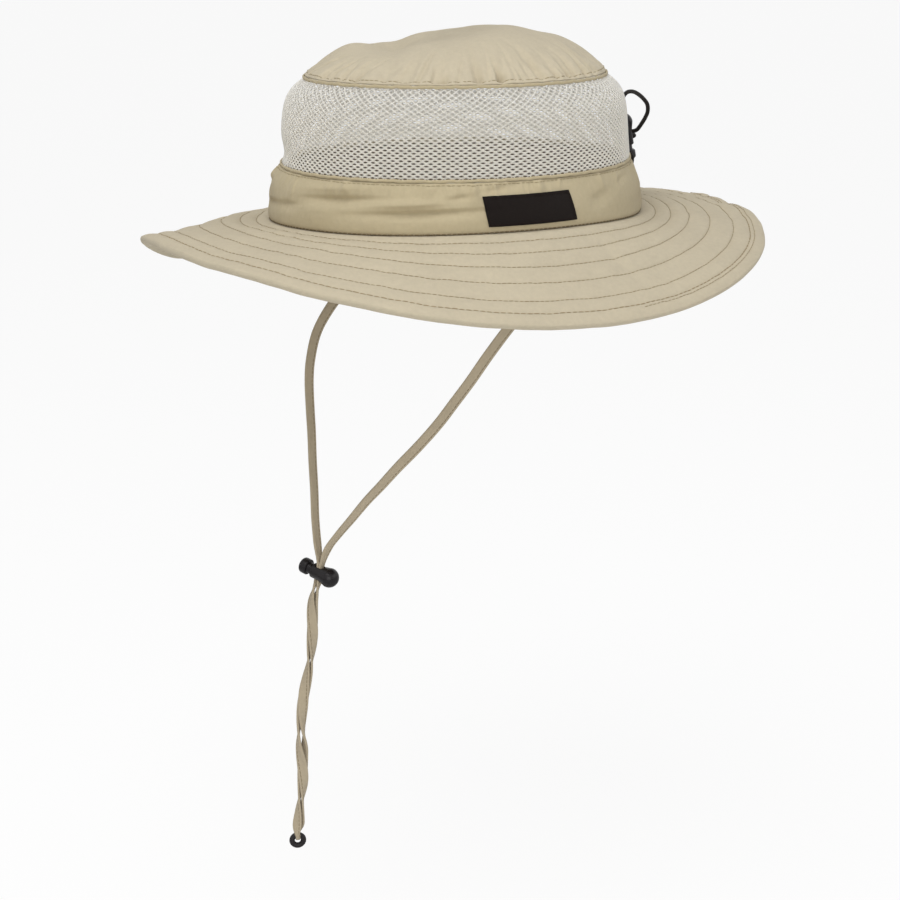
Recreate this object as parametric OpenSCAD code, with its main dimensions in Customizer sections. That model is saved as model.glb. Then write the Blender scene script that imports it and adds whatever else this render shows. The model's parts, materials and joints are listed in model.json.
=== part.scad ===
// Boonie hat with a mesh crown, a wide stitched brim, a chin strap and a rear drawcord.
// +Z is up, the front is -Y and the wearer's left is +X.
// The origin is the middle of the head opening, level with the seam of crown and brim.

/* [Head opening] */
// Inside width of the head opening, ear to ear
head_w = 168; // [150:1:186]
// Inside length of the head opening, front to back
head_l = 200; // [180:1:220]

/* [Fabric] */
// Thickness of the crown's woven shell
shell_t = 0.8; // [0.5:0.1:1.2]
// Thickness of the sweatband
sweat_t = 1; // [0.6:0.1:2]
// Radial room between shell and sweatband at the brim, where the drawcord runs
casing_w = 2.7; // [2.6:0.1:4]

/* [Crown] */
// Height of the woven band above the brim
band_h = 24.4; // [22:0.2:34]
// How far the band leans in at its top
band_lean = 6.6; // [3:0.2:8]
// Height of each rolled seam
welt_h = 2; // [1.4:0.1:3]
// How far a rolled seam stands proud of the crown
welt_proud = 0.8; // [0.4:0.1:1.4]
// Height of the mesh ventilation band
mesh_h = 42.6; // [30:0.2:56]
// Even inward lean of the mesh band
mesh_lean = 3.4; // [0:0.2:5]
// Extra inward turn of the mesh band at its shoulder
mesh_shoulder = 10; // [6:0.2:16]
// Height of the crown's tip above its seam
tip_h = 25.5; // [18:0.5:40]
// Depth of the slump in the front half of the tip
tip_slump = 8.5; // [0:0.5:10]

/* [Sweatband] */
// Height of the sweatband
sweat_h = 22.6; // [20.5:0.2:24]

/* [Brim] */
// Width of the brim from the crown to its edge
brim_w = 69; // [62:1:80]
// Thickness of the top fabric
brim_top_t = 0.6; // [0.4:0.1:1]
// Thickness of the stiffening layer
brim_core_t = 1.2; // [0.8:0.1:2]
// Thickness of the underside fabric
brim_under_t = 0.6; // [0.4:0.1:1]
// Width of the folded edge that closes the layers
brim_lip = 1.2; // [0.8:0.1:2]
// Distance of the first stitch row from the crown
stitch_first = 4; // [3:0.5:6]
// Distance between the stitch rows
stitch_pitch = 11.5; // [9:0.5:14]
// Droop of the brim at the front, in degrees
front_droop_angle = 6.5; // [0:0.5:15]
// Droop of the brim at the back, in degrees
back_droop_angle = 9; // [0:0.5:15]
// Droop of the brim on the wearer's left, in degrees
left_droop_angle = 34.5; // [10:0.5:36]
// Droop of the brim on the wearer's right, in degrees
right_droop_angle = 34; // [5:0.5:36]
// How far the sides' droop is turned towards the back on the left, in degrees
droop_turn_angle = 7.5; // [0:0.5:15]
// Further slope of the edge where the brim hangs in a fold on the right of the front, in degrees
fold_angle = 49; // [0:1:60]
// Width of the turned-down hem
hem_w = 9; // [6:0.5:12]
// Turn of the hem where the brim droops by 30 degrees
hem_turn_angle = 19; // [0:1:50]

/* [Label] */
// Length of the woven label
label_l = 50; // [30:1:60]
// Height of the woven label
label_h = 15; // [10:0.5:17]
// Height of the label's lower edge above the brim
label_z = 3.5; // [2:0.5:6]
// Thickness of the woven label
label_t = 0.7; // [0.4:0.1:1]

/* [Chin strap] */
// Width of the flat strap
strap_w = 5.2; // [4.6:0.1:6]
// Thickness of the flat strap
strap_t = 1.5; // [1:0.1:1.7]
// Width of the strap where the cord lock gathers it
strap_lock_w = 4; // [3:0.1:4.2]
// Width of the strap where it passes through the end ring
strap_ring_w = 2.6; // [2:0.1:2.8]
// How far the strap tabs sit behind the middle of the hat
ear_y = 12; // [0:1:20]
// Length of a strap tab along the brim
tab_l = 12; // [8:0.5:16]
// Width of a strap tab
tab_w = 3.4; // [2:0.1:4]
// Height of a strap tab below the brim
tab_h = 2; // [1.5:0.1:4]
// Middle radius of the end ring
ring_r = 3.6; // [3.4:0.1:5]
// Radius of the end ring's round section
ring_tube_r = 1.3; // [0.8:0.05:1.4]

/* [Drawcord] */
// Diameter of the elastic drawcord
cord_d = 2.3; // [1.8:0.1:2.4]
// Height of the drawcord and its eyelets above the brim
cord_z = 14; // [12:0.5:15]
// Distance from each eyelet to the middle of the back
eyelet_x = 6; // [5:0.5:8]
// Thickness of an eyelet's wall
eyelet_wall = 0.8; // [0.5:0.1:1.2]
// Width of an eyelet's flange
eyelet_flange = 1.2; // [0.6:0.1:1.6]

/* [Cord locks] */
// Radius of the plunger's stem
stem_r = 3.2; // [3:0.05:3.6]
// Radial running clearance of the stem in its bore
stem_fit = 0.08; // [0.05:0.01:0.1]
// Wall of the lock body round its bore
lock_wall = 1.1; // [0.8:0.05:1.6]
// Swell of the body's closed end beyond its mouth
lock_swell = 1.2; // [0:0.1:1.6]
// Travel of the plunger when it is pressed
press_travel = 3; // [2:0.1:4]
// Length of the plunger's head
head_len = 5; // [3:0.5:7]
// Radius of the plunger's head
plunger_head_r = 4.5; // [3.8:0.1:5]
// Length of the spring in the closed lock
spring_l = 6.5; // [5.5:0.5:9]
// Wire diameter of the spring
spring_wire = 0.7; // [0.4:0.05:0.8]
// Whole turns of the spring
spring_turns = 4; // [3:1:5]

/* [Hidden] */

KHAKI = [0.72, 0.66, 0.51];
CREAM = [0.86, 0.84, 0.78];
KHAKI_INSIDE = [0.65, 0.59, 0.46];
STRAP = [0.6, 0.54, 0.41];
BLACK = [0.08, 0.08, 0.09];
STEEL = [0.6, 0.6, 0.62];

// Facets round the oval crown and brim
segments = 56;
phis = [for (i = [0 : segments - 1]) 360 * i / segments];

// Half axes of the crown's outer oval at the brim
wall = shell_t + casing_w + sweat_t;
oval_x = head_w / 2 + wall;
oval_y = head_l / 2 + wall;

// Heights of the crown's seams
band_top = band_h;
mesh_bottom = band_top + welt_h;
mesh_top = mesh_bottom + mesh_h;
tip_bottom = mesh_top + welt_h;
mesh_top_inset = band_lean + mesh_lean + mesh_shoulder;
// The tip starts a little further in than the mesh ends, as the rolled seam leans
tip_inset = mesh_top_inset + welt_h / 2;
// Powers that shape the band's lean, the mesh's shoulder and the tip's dome
band_curve = 2.2;
shoulder_curve = 7;
dome_curve = 3;
dome_fullness = 0.8;
// Share of a rolled seam's height that each of its rounded edges takes
welt_edge = 0.3;

// Small running clearance between soft pieces that lie on each other
lay_gap = 0.1;

// Points of the crown

// Point of the oval at angle phi from the front, moved in by inset
function oval(phi, inset, z) = [(oval_x - inset) * sin(phi), -(oval_y - inset) * cos(phi), z];

function lerp(a, b, t) = a + (b - a) * t;
function unit(v) = v / norm(v);
function backwards(list) = [for (i = [len(list) - 1 : -1 : 0]) list[i]];
function ramp(t) = let (u = min(max(t, 0), 1)) u * u * (3 - 2 * u);

// Inset of the band's outer face at height z
function band_inset(z) = band_lean * pow(z / band_h, band_curve);

// Inset of the mesh band's outer face at a share u of its height
function mesh_inset(u) = band_lean + mesh_lean * u + mesh_shoulder * pow(u, shoulder_curve);

// Height of the tip at a share rho of its radius, with the slump in its front half
function tip_rise(phi, rho, rise) =
    rise * pow(1 - pow(rho, dome_curve), dome_fullness)
        - tip_slump * 4 * rho * (1 - rho) * pow((1 + cos(phi)) / 2, 2);

function tip_point(phi, rho, skin) = [
    (oval_x - tip_inset - skin) * rho * sin(phi),
    -(oval_y - tip_inset - skin) * rho * cos(phi),
    tip_bottom + tip_rise(phi, rho, tip_h - skin)
];

// A closed solid swept round the oval from one section loop for each angle
// Each loop runs out along the top and back along the bottom, and its quads from index turn on
// split the other way, so that layers with the same points meet face to face
module ring_solid(loops, turn) {
    n = len(loops);
    m = len(loops[0]);
    points = [for (section = loops) each section];
    faces = [
        for (i = [0 : n - 1], j = [0 : m - 1])
            let (
                a = i * m + j,
                b = ((i + 1) % n) * m + j,
                c = ((i + 1) % n) * m + (j + 1) % m,
                d = i * m + (j + 1) % m
            )
            each j < turn ? [[a, c, d], [a, b, c]] : [[a, b, d], [d, b, c]]
    ];
    polyhedron(points, faces, convexity = 10);
}

// A ring whose section is a list of [inset, height] pairs, the same all round, outer side first
module profile_ring(profile) {
    ring_solid([for (phi = phis) [for (p = backwards(profile)) oval(phi, p[0], p[1])]], len(profile));
}

// The outer side climbs, the inner side comes down, a wall apart
function wall_profile(outer, skin) = concat(outer, [for (p = backwards(outer)) p + [skin, 0]]);

// Crown pieces

tip_shares = [1, 0.95, 0.87, 0.74, 0.54, 0.3];

module crown_tip() {
    n = segments;
    k = len(tip_shares);
    outer = [for (rho = tip_shares, phi = phis) tip_point(phi, rho, 0)];
    inner = [for (rho = tip_shares, phi = phis) tip_point(phi, rho, shell_t)];
    points = concat(outer, [tip_point(0, 0, 0)], inner, [tip_point(0, 0, shell_t)]);
    under = k * n + 1;
    faces = concat(
        [
            for (r = [0 : k - 2], i = [0 : n - 1])
                let (a = r * n + i, b = r * n + (i + 1) % n, c = b + n, d = a + n)
                each [
                    [a, d, c], [a, c, b],
                    [under + a, under + c, under + d], [under + a, under + b, under + c]
                ]
        ],
        [
            for (i = [0 : n - 1])
                let (a = (k - 1) * n + i, b = (k - 1) * n + (i + 1) % n)
                each [[a, k * n, b], [under + a, under + b, under + k * n]]
        ],
        [
            for (i = [0 : n - 1])
                let (b = (i + 1) % n)
                each [[i, b, under + b], [i, under + b, under + i]]
        ]
    );
    color(KHAKI) polyhedron(points, faces, convexity = 10);
}

module tip_seam_welt() {
    proud = mesh_top_inset - welt_proud;
    color(KHAKI) profile_ring([
        [mesh_top_inset, mesh_top],
        [proud, mesh_top + welt_h * welt_edge],
        [proud, mesh_top + welt_h * (1 - welt_edge)],
        [tip_inset, tip_bottom],
        [tip_inset + shell_t, tip_bottom],
        [mesh_top_inset + shell_t, mesh_top]
    ]);
}

mesh_shares = [0, 0.35, 0.6, 0.78, 0.9, 1];

module mesh_band() {
    outer = [for (u = mesh_shares) [mesh_inset(u), mesh_bottom + mesh_h * u]];
    color(CREAM) profile_ring(wall_profile(outer, shell_t));
}

module band_seam_welt() {
    proud = band_lean - welt_proud;
    color(KHAKI) profile_ring([
        [band_lean, band_top],
        [proud, band_top + welt_h * welt_edge],
        [proud, band_top + welt_h * (1 - welt_edge)],
        [band_lean, mesh_bottom],
        [band_lean + shell_t, mesh_bottom],
        [band_lean + shell_t, band_top]
    ]);
}

band_low = 0.35;
band_high = 0.78;

module crown_band() {
    heights = [0, band_h * band_low, cord_z, band_h * band_high, sweat_h, band_h];
    outer = [for (z = heights) [band_inset(z), z]];
    color(KHAKI) difference() {
        profile_ring(wall_profile(outer, shell_t));
        for (side = [-1, 1])
            at_eyelet(side) cylinder(r = eyelet_r + lay_gap, h = 4 * casing_w, center = true, $fn = 48);
    }
}

module sweatband() {
    outer = [
        [shell_t + casing_w, 0],
        [band_inset(cord_z) + shell_t + cord_d + 4 * lay_gap, cord_z],
        [band_inset(sweat_h) + shell_t, sweat_h]
    ];
    color(KHAKI_INSIDE) profile_ring(wall_profile(outer, sweat_t));
}

// Brim pieces

brim_t = brim_top_t + brim_core_t + brim_under_t;
// Stitch rows that fit between the crown and the hem, after the first
stitch_rows = floor((brim_w - hem_w - stitch_first - brim_lip) / stitch_pitch);
// Distances from the crown at which the brim's section turns, the lip and the edge last
brim_runs = concat(
    [0],
    [for (i = [0 : stitch_rows]) stitch_first + stitch_pitch * i],
    [brim_w - hem_w, brim_w - hem_w / 2, brim_w - brim_lip, brim_w]
);
brim_steps = len(brim_runs);
// Shares of the droop that each side gains by the edge, so that the right side ends level
left_gain = -0.3;
right_gain = -1;
// How closely the droop keeps to the sides
side_focus = 2.4;
// Middle and half width of the fold on the right of the front, as angles from the front
fold_at_angle = -37;
fold_half_angle = 18.5;
// Droop that the hem's turn is given for, and the steepest slope
hem_droop_angle = 30;
steepest_angle = 75;

// Share of the wearer's left at an angle from the front, once the droop is turned
function left_share(phi) = ramp((1 + sin(phi - droop_turn_angle)) / 2);

// Droop of the brim at the crown, at an angle from the front
function droop(phi) =
    let (
        turned = phi - droop_turn_angle,
        ends = lerp(back_droop_angle, front_droop_angle, (1 + cos(turned)) / 2),
        side = lerp(right_droop_angle, left_droop_angle, left_share(phi))
    )
    lerp(ends, side, pow(abs(sin(turned)), side_focus));

// Share of the front fold at an angle from the front
function fold_share(phi) =
    let (turned = (phi - fold_at_angle + 540) % 360 - 180)
    exp(-pow(turned / fold_half_angle, 2));

// Slope of the brim at a distance from the crown
function brim_slope(phi, run) =
    let (
        share = run / brim_w,
        gain = lerp(right_gain, left_gain, left_share(phi)),
        hem = max(0, (run - brim_w + hem_w) / hem_w),
        hem_gain = hem * hem_turn_angle / hem_droop_angle,
        fold = fold_angle * fold_share(phi) * share * share
    )
    min(droop(phi) * (1 + gain * share * share + hem_gain) + fold, steepest_angle);

// Outward and downward reach of the brim's top at a turn of its section
function brim_reach(phi, i) =
    i == 0 ? [0, 0] :
    let (
        step = brim_runs[i] - brim_runs[i - 1],
        slope = brim_slope(phi, (brim_runs[i] + brim_runs[i - 1]) / 2)
    )
    brim_reach(phi, i - 1) + step * [cos(slope), -sin(slope)];

// Point of the brim at a turn of its section, sunk below the top face by depth
function brim_point(phi, i, depth) =
    let (
        reach = brim_reach(phi, i),
        slope = i == 0 ? 0 : brim_slope(phi, brim_runs[i])
    )
    oval(phi, depth * sin(slope) - reach[0], reach[1] - depth * cos(slope));

// Point of the brim's flat inner margin, under the band and the sweatband
function margin_point(phi, depth) = oval(phi, wall, -depth);

// One layer of the brim between two depths, as far as a turn of its section
module brim_layer(top, bottom, last) {
    loops = [
        for (phi = phis) concat(
            [margin_point(phi, bottom), margin_point(phi, top)],
            [for (i = [0 : last]) brim_point(phi, i, top)],
            [for (i = [last : -1 : 0]) brim_point(phi, i, bottom)]
        )
    ];
    ring_solid(loops, last + 3);
}

module brim_top() {
    edge = brim_steps - 1;
    lip = brim_steps - 2;
    loops = [
        for (phi = phis) concat(
            [margin_point(phi, brim_top_t), margin_point(phi, 0)],
            [for (i = [0 : edge]) brim_point(phi, i, 0)],
            [brim_point(phi, edge, brim_t), brim_point(phi, lip, brim_t)],
            [brim_point(phi, lip, brim_top_t + brim_core_t)],
            [for (i = [lip : -1 : 0]) brim_point(phi, i, brim_top_t)]
        )
    ];
    color(KHAKI) ring_solid(loops, edge + 3);
}

module brim_interlining() {
    color(CREAM) brim_layer(brim_top_t, brim_top_t + brim_core_t, brim_steps - 2);
}

module brim_underside() {
    color(KHAKI_INSIDE) brim_layer(brim_top_t + brim_core_t, brim_t, brim_steps - 2);
}

// Label on the wearer's left

label_columns = 8;
label_rows = 3;

module side_label() {
    half_turn = asin(label_l / 2 / oval_y);
    columns = [for (i = [0 : label_columns]) 90 + half_turn * (2 * i / label_columns - 1)];
    heights = [for (j = [0 : label_rows]) label_z + label_h * j / label_rows];
    front = -label_t - lay_gap;
    loops = [
        for (phi = columns) concat(
            [for (z = heights) oval(phi, band_inset(z) + front, z)],
            [for (z = backwards(heights)) oval(phi, band_inset(z) - lay_gap, z)]
        )
    ];
    color(BLACK) sweep(loops);
}

// A closed solid from a row of section loops, with flat ends
module sweep(loops) {
    n = len(loops);
    m = len(loops[0]);
    points = [for (section = loops) each section];
    sides = [
        for (i = [0 : n - 2], j = [0 : m - 1])
            let (a = i * m + j, b = a + m, c = (i + 1) * m + (j + 1) % m, d = i * m + (j + 1) % m)
            each [[a, d, c], [a, c, b]]
    ];
    first = [for (j = [1 : m - 2]) [0, j + 1, j]];
    base = (n - 1) * m;
    last = [for (j = [1 : m - 2]) [base, base + j, base + j + 1]];
    polyhedron(points, concat(sides, first, last), convexity = 10);
}

// Strap tabs under the brim's margin

tab_phi = acos(-ear_y / (oval_y - wall / 2));

module strap_tab(side) {
    at = oval(side * tab_phi, wall / 2, -brim_t - tab_h / 2);
    lean = atan2(at[1] / pow(oval_y, 2), at[0] / pow(oval_x, 2));
    color(STRAP) translate(at) rotate([0, 0, lean]) cube([tab_w, tab_l, tab_h], center = true);
}

module strap_tab_left() {
    strap_tab(1);
}

module strap_tab_right() {
    strap_tab(-1);
}

// Cord locks: the barrel lies along local X with its closed end at +X
// The straps pass along local Z through the middle

lock_gap = 0.2;
bore_r = stem_r + stem_fit;
body_r = bore_r + lock_wall;
mouth_wall = 2.2;
mouth_chamfer = 0.4;
stem_end = 2;
dome_wall = 2.2;
head_round = 1.6;
head_chamfer = 0.5;
// Extra length of a cut past the face that it opens
cut_over = 1;
// Extra length of the body's slot towards its closed end
slot_ease = 1;

// Half length along the barrel, and width, of the two strands that each lock holds
strand_gap = 0.45;
chin_stack = strap_t + strand_gap / 2;
rear_stack = cord_d + strand_gap / 2;
chin_slot_w = strap_lock_w;
rear_slot_w = cord_d;

function mouth_x(stack) = -(stack + lock_gap + mouth_wall);
function stem_x(stack) = stack + lock_gap + stem_end;
function bore_end(stack) = stem_x(stack) + spring_l;
function body_end(stack) = bore_end(stack) + dome_wall;

module lock_body(stack, slot_w) {
    far = body_end(stack);
    mouth = mouth_x(stack);
    round_r = body_r + lock_swell;
    difference() {
        rotate([0, 90, 0]) rotate_extrude($fn = 64) polygon(concat(
            [[0, mouth], [body_r - mouth_chamfer, mouth], [body_r, mouth + mouth_chamfer]],
            [[body_r, stack + lock_gap]],
            [[round_r, far - round_r]],
            [for (a = [10 : 10 : 80]) [round_r * cos(a), far - round_r + round_r * sin(a)]],
            [[0, far]]
        ));
        translate([mouth - cut_over, 0, 0]) rotate([0, 90, 0])
            cylinder(r = bore_r, h = bore_end(stack) - mouth + cut_over, $fn = 64);
        lock_slot(-(stack + lock_gap), stack + lock_gap + slot_ease, slot_w);
    }
}

module lock_plunger(stack, slot_w) {
    neck = mouth_x(stack) - press_travel - lock_gap;
    head_end = neck - head_len;
    flat_r = plunger_head_r - head_round;
    difference() {
        rotate([0, 90, 0]) rotate_extrude($fn = 64) polygon(concat(
            [[0, head_end]],
            [for (a = [-90 : 15 : 0]) [flat_r + head_round * cos(a), head_end + head_round * (1 + sin(a))]],
            [[plunger_head_r, neck - head_chamfer], [plunger_head_r - head_chamfer, neck], [stem_r, neck]],
            [[stem_r, stem_x(stack)], [0, stem_x(stack)]]
        ));
        lock_slot(-(stack + lock_gap + press_travel), stack + lock_gap, slot_w);
    }
}

// Slot along local Z from x0 to x1, as wide as the strand with its clearance
module lock_slot(x0, x1, slot_w) {
    slot = slot_w + 2 * lock_gap;
    deep = 4 * body_r;
    translate([x0, -slot / 2, -deep / 2]) cube([x1 - x0, slot, deep]);
}

spring_sides = 6;
spring_rings = 8;
// Room round the coil in its bore, and between each end of the coil and its seat
spring_room = 0.35;
spring_seat = 0.05;
spring_reach = spring_l - spring_wire - 2 * spring_seat;

// Coil of wire between the stem and the end of the bore
module lock_spring(stack) {
    wire_r = spring_wire / 2;
    coil_r = bore_r - wire_r - spring_room;
    start = stem_x(stack) + wire_r + spring_seat;
    steps = spring_turns * spring_rings;
    climb = spring_reach / spring_turns / (2 * PI);
    loops = [
        for (i = [0 : steps])
            let (
                turn = 360 * i / spring_rings,
                out = [0, cos(turn), sin(turn)],
                along = unit([climb, -coil_r * sin(turn), coil_r * cos(turn)]),
                side = cross(along, out),
                at = [start + spring_reach * i / steps, 0, 0] + coil_r * out
            )
            [
                for (k = [0 : spring_sides - 1])
                    at + wire_r * (cos(360 * k / spring_sides) * out + sin(360 * k / spring_sides) * side)
            ]
    ];
    color(STEEL) sweep(loops);
}

echo(str("least gap between the turns of a lock spring: ",
    spring_reach / spring_turns - spring_wire, " mm"));

// Place of the chin lock, with its barrel turned and tipped as it hangs
chin_lock_at = [0, -85, -200];
chin_turn = 30;
chin_tip = 12;
chin_axis = [cos(chin_tip) * cos(chin_turn), cos(chin_tip) * sin(chin_turn), -sin(chin_tip)];
chin_side = [-sin(chin_turn), cos(chin_turn), 0];
chin_pass = cross(chin_axis, chin_side);

module at_chin_lock() {
    translate(chin_lock_at) rotate([0, chin_tip, chin_turn]) children();
}

module chin_lock_body() {
    color(BLACK) at_chin_lock() lock_body(chin_stack, chin_slot_w);
}

module chin_lock_plunger() {
    color(BLACK) at_chin_lock() lock_plunger(chin_stack, chin_slot_w);
}

module chin_lock_spring() {
    at_chin_lock() lock_spring(chin_stack);
}

// Place of the rear lock, upright behind the crown with its plunger tipped out
rear_back = [0, oval_y, 0];
rear_lock_x = -4;
rear_lock_out = 1;
rear_lock_z = 31;
rear_lock_at = rear_back + [rear_lock_x, rear_lock_out, rear_lock_z];
rear_tip = 12;
rear_axis = [0, -sin(rear_tip), cos(rear_tip)];
rear_pass = [0, cos(rear_tip), sin(rear_tip)];

module at_rear_lock() {
    translate(rear_lock_at) rotate([rear_tip, 0, 0]) rotate([0, -90, -90]) children();
}

module rear_lock_body() {
    color(BLACK) at_rear_lock() lock_body(rear_stack, rear_slot_w);
}

module rear_lock_plunger() {
    color(BLACK) at_rear_lock() lock_plunger(rear_stack, rear_slot_w);
}

module rear_lock_spring() {
    at_rear_lock() lock_spring(rear_stack);
}

// Chin strap

// Flat section with eased corners, as shares of the width and the thickness
flat_section = [
    [-0.5, -0.25], [-0.4, -0.5], [0.4, -0.5], [0.5, -0.25],
    [0.5, 0.25], [0.4, 0.5], [-0.4, 0.5], [-0.5, 0.25]
];

function direction(route, i) = unit(route[min(i + 1, len(route) - 1)] - route[max(i - 1, 0)]);

// A flat strap along a route, with a width and a width direction for each point
module flat_strap(route, widths, across) {
    loops = [
        for (i = [0 : len(route) - 1])
            let (
                along = direction(route, i),
                wide = unit(across[i] - (across[i] * along) * along),
                thick = cross(wide, along)
            )
            [for (p = flat_section) route[i] + p[0] * widths[i] * wide + p[1] * strap_t * thick]
    ];
    color(STRAP) sweep(loops);
}

// Straight lengths of strap at the lock and below a tab
strap_drop = 6;
tab_lead = 3;
// Twist of the left strand between its tab and the lock, in degrees
left_twist = 40;
chin_half_gap = (strap_t + strand_gap) / 2;

// Where a strand lies in the chin lock: its own half of the stack, up or down the passage
function in_chin_lock(side, up) = chin_lock_at + side * chin_half_gap * chin_axis + up * chin_pass;

left_points = [
    [85, 12, -10], [81, 11, -22], [74, 8, -36], [67, 4, -48], [61, -1, -58], [54, -8, -72],
    [48, -15, -86], [42, -22, -99], [37, -29, -111], [31, -38, -124], [26, -48, -136],
    [21, -56, -147], [17, -63, -156], [12, -70, -167], [8, -76, -176], [4, -81, -185]
];
right_points = [
    [-85, 11, -10], [-82, 4, -20], [-77, -10, -32], [-70, -28, -45], [-64, -43, -56],
    [-58, -55, -66], [-53, -64, -77], [-47, -70, -90], [-42, -73, -101], [-36, -75, -114],
    [-29, -77, -128], [-23, -79, -142], [-16, -81, -157], [-10, -83, -171], [-5, -84, -183]
];

function tab_foot(side) = oval(side * tab_phi, wall / 2, -brim_t - tab_h);

// A strand from its tab to the middle of the lock, which twists by turn on its way
module chin_strand(side, points, turn) {
    route = concat(
        [tab_foot(side), tab_foot(side) - [0, 0, tab_lead]],
        points,
        [in_chin_lock(side, strap_drop), in_chin_lock(side, 0)]
    );
    last = len(route) - 1;
    widths = [for (i = [0 : last]) i < last - 1 ? strap_w : strap_lock_w];
    angles = [for (i = [0 : last]) chin_turn * ramp(i / last) - turn * sin(180 * i / last)];
    across = [for (a = angles) [-sin(a), cos(a), 0]];
    flat_strap(route, widths, across);
}

module chin_strap_left() {
    chin_strand(1, left_points, left_twist);
}

module chin_strap_right() {
    chin_strand(-1, right_points, 0);
}

// Middle line of the twisted tail below the lock, down to the top of the end ring
tail_points = [
    [-1, -89, -218], [0, -90, -236], [0, -92, -254], [0, -96, -272], [0, -98, -290],
    [0, -98, -308], [0, -98, -326], [0, -100, -342]
];
ring_top = [0, -102, -359];
tail_twist = 675;
tail_steps = 17;
// How far the tail's strands swell apart halfway, and its last share that narrows to the ring
tail_swell = 0.7;
ring_taper = 0.14;
ring_room = 0.5;
loop_r = ring_tube_r + strap_t / 2 + ring_room;
loop_steps = 6;

tail_line = concat([chin_lock_at - strap_drop * chin_pass], tail_points, [ring_top]);

// Point of a curve through a list of points, at a share t of its length
function curve_at(points, t) =
    let (
        last = len(points) - 1,
        i = min(floor(t * last), last - 1),
        u = t * last - i,
        p0 = points[max(i - 1, 0)],
        p1 = points[i],
        p2 = points[i + 1],
        p3 = points[min(i + 2, last)]
    )
    (2 * p1 + (p2 - p0) * u + (2 * p0 - 5 * p1 + 4 * p2 - p3) * u * u
        + (3 * p1 - p0 - 3 * p2 + p3) * u * u * u) / 2;

function tail_turn(t) = chin_turn + tail_twist * t;
function tail_out(t) = [cos(tail_turn(t)), sin(tail_turn(t)), 0];
function tail_across(t) = [-sin(tail_turn(t)), cos(tail_turn(t)), 0];
// The strands lie close at the lock and stand apart by the ring's loop below
function tail_apart(t) = lerp(chin_half_gap, loop_r, t) + tail_swell * pow(sin(180 * t), 2);
function tail_point(side, t) = curve_at(tail_line, t) + side * tail_apart(t) * tail_out(t);

tail_shares = [for (i = [1 : tail_steps]) i / tail_steps];
loop_turns = [for (i = [1 : loop_steps - 1]) 180 * i / loop_steps];

tail_down = concat(
    [in_chin_lock(1, 0), in_chin_lock(1, -strap_drop)],
    [for (t = tail_shares) tail_point(1, t)]
);
tail_up = concat(
    backwards([for (t = tail_shares) tail_point(-1, t)]),
    [in_chin_lock(-1, -strap_drop), in_chin_lock(-1, 0)]
);

echo(str("least gap between the strands of the tail: ",
    min([for (a = tail_down) min([for (b = tail_up) norm(a - b)])]) - strap_t, " mm"));

// One length of strap: down the twisted tail, round the end ring and up again
module chin_strap_tail() {
    under = [for (a = loop_turns) ring_top + loop_r * (cos(a) * tail_out(1) - sin(a) * [0, 0, 1])];
    across = concat([chin_side, chin_side], [for (t = tail_shares) tail_across(t)]);
    widths = concat(
        [strap_lock_w, strap_lock_w],
        [for (t = tail_shares) lerp(strap_w, strap_ring_w, ramp((t - 1 + ring_taper) / ring_taper))]
    );
    flat_strap(
        concat(tail_down, under, tail_up),
        concat(widths, [for (a = loop_turns) strap_ring_w], backwards(widths)),
        concat(across, [for (a = loop_turns) tail_across(1)], backwards(across))
    );
}

// The ring hangs in the strap's loop, edge on to it
module chin_end_ring() {
    color(BLACK) translate(ring_top - [0, 0, ring_r]) rotate([0, 90, tail_turn(1)])
        rotate_extrude($fn = 64) translate([ring_r, 0]) circle(r = ring_tube_r, $fn = 32);
}

// Drawcord in its casing, through the eyelets and out to the rear lock

eyelet_room = 0.2;
eyelet_bore = cord_d / 2 + eyelet_room;
eyelet_r = eyelet_bore + eyelet_wall;
eyelet_h = 0.6;
// Straight length of cord that stands out of an eyelet, and on each side of the rear lock
eyelet_lead = 1.2;
lock_lead = 5.4;
eyelet_phi = asin(eyelet_x / (oval_x - band_inset(cord_z)));
eyelet_tilt = atan(band_lean * band_curve * pow(cord_z / band_h, band_curve - 1) / band_h);

function eyelet_at(side) = oval(180 - side * eyelet_phi, band_inset(cord_z), cord_z);
function eyelet_lean(side) =
    let (p = eyelet_at(side)) atan2(p[1] / pow(oval_y, 2), p[0] / pow(oval_x, 2));

// Local Z points out of the crown through an eyelet
module at_eyelet(side) {
    translate(eyelet_at(side)) rotate([0, 90 - eyelet_tilt, eyelet_lean(side)]) children();
}

module drawcord_eyelets() {
    color(BLACK) for (side = [-1, 1]) at_eyelet(side) rotate_extrude($fn = 48) polygon([
        [eyelet_bore, -shell_t],
        [eyelet_r, -shell_t],
        [eyelet_r, lay_gap],
        [eyelet_r + eyelet_flange, lay_gap],
        [eyelet_r + eyelet_flange, lay_gap + eyelet_h / 2],
        [eyelet_r + eyelet_flange / 2, lay_gap + eyelet_h],
        [eyelet_bore, lay_gap + eyelet_h]
    ]);
}

cord_sides = 8;

// A round cord along a route, square to it at every point
module round_cord(route) {
    loops = [
        for (i = [0 : len(route) - 1])
            let (
                along = direction(route, i),
                flat = abs(along[2]) < 0.9 ? [0, 0, 1] : [1, 0, 0],
                wide = unit(cross(flat, along)),
                high = cross(wide, along)
            )
            [
                for (k = [0 : cord_sides - 1])
                    let (turn = 360 * k / cord_sides)
                    route[i] + cord_d / 2 * (cos(turn) * wide + sin(turn) * high)
            ]
    ];
    color(BLACK) sweep(loops);
}

// Angle from the front at which the elastic is sewn down on each side
elastic_phi = 128;
// Share of an eyelet's angle at which the elastic ends, just behind the eyelet
elastic_end = 0.7;
elastic_steps = 11;

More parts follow.
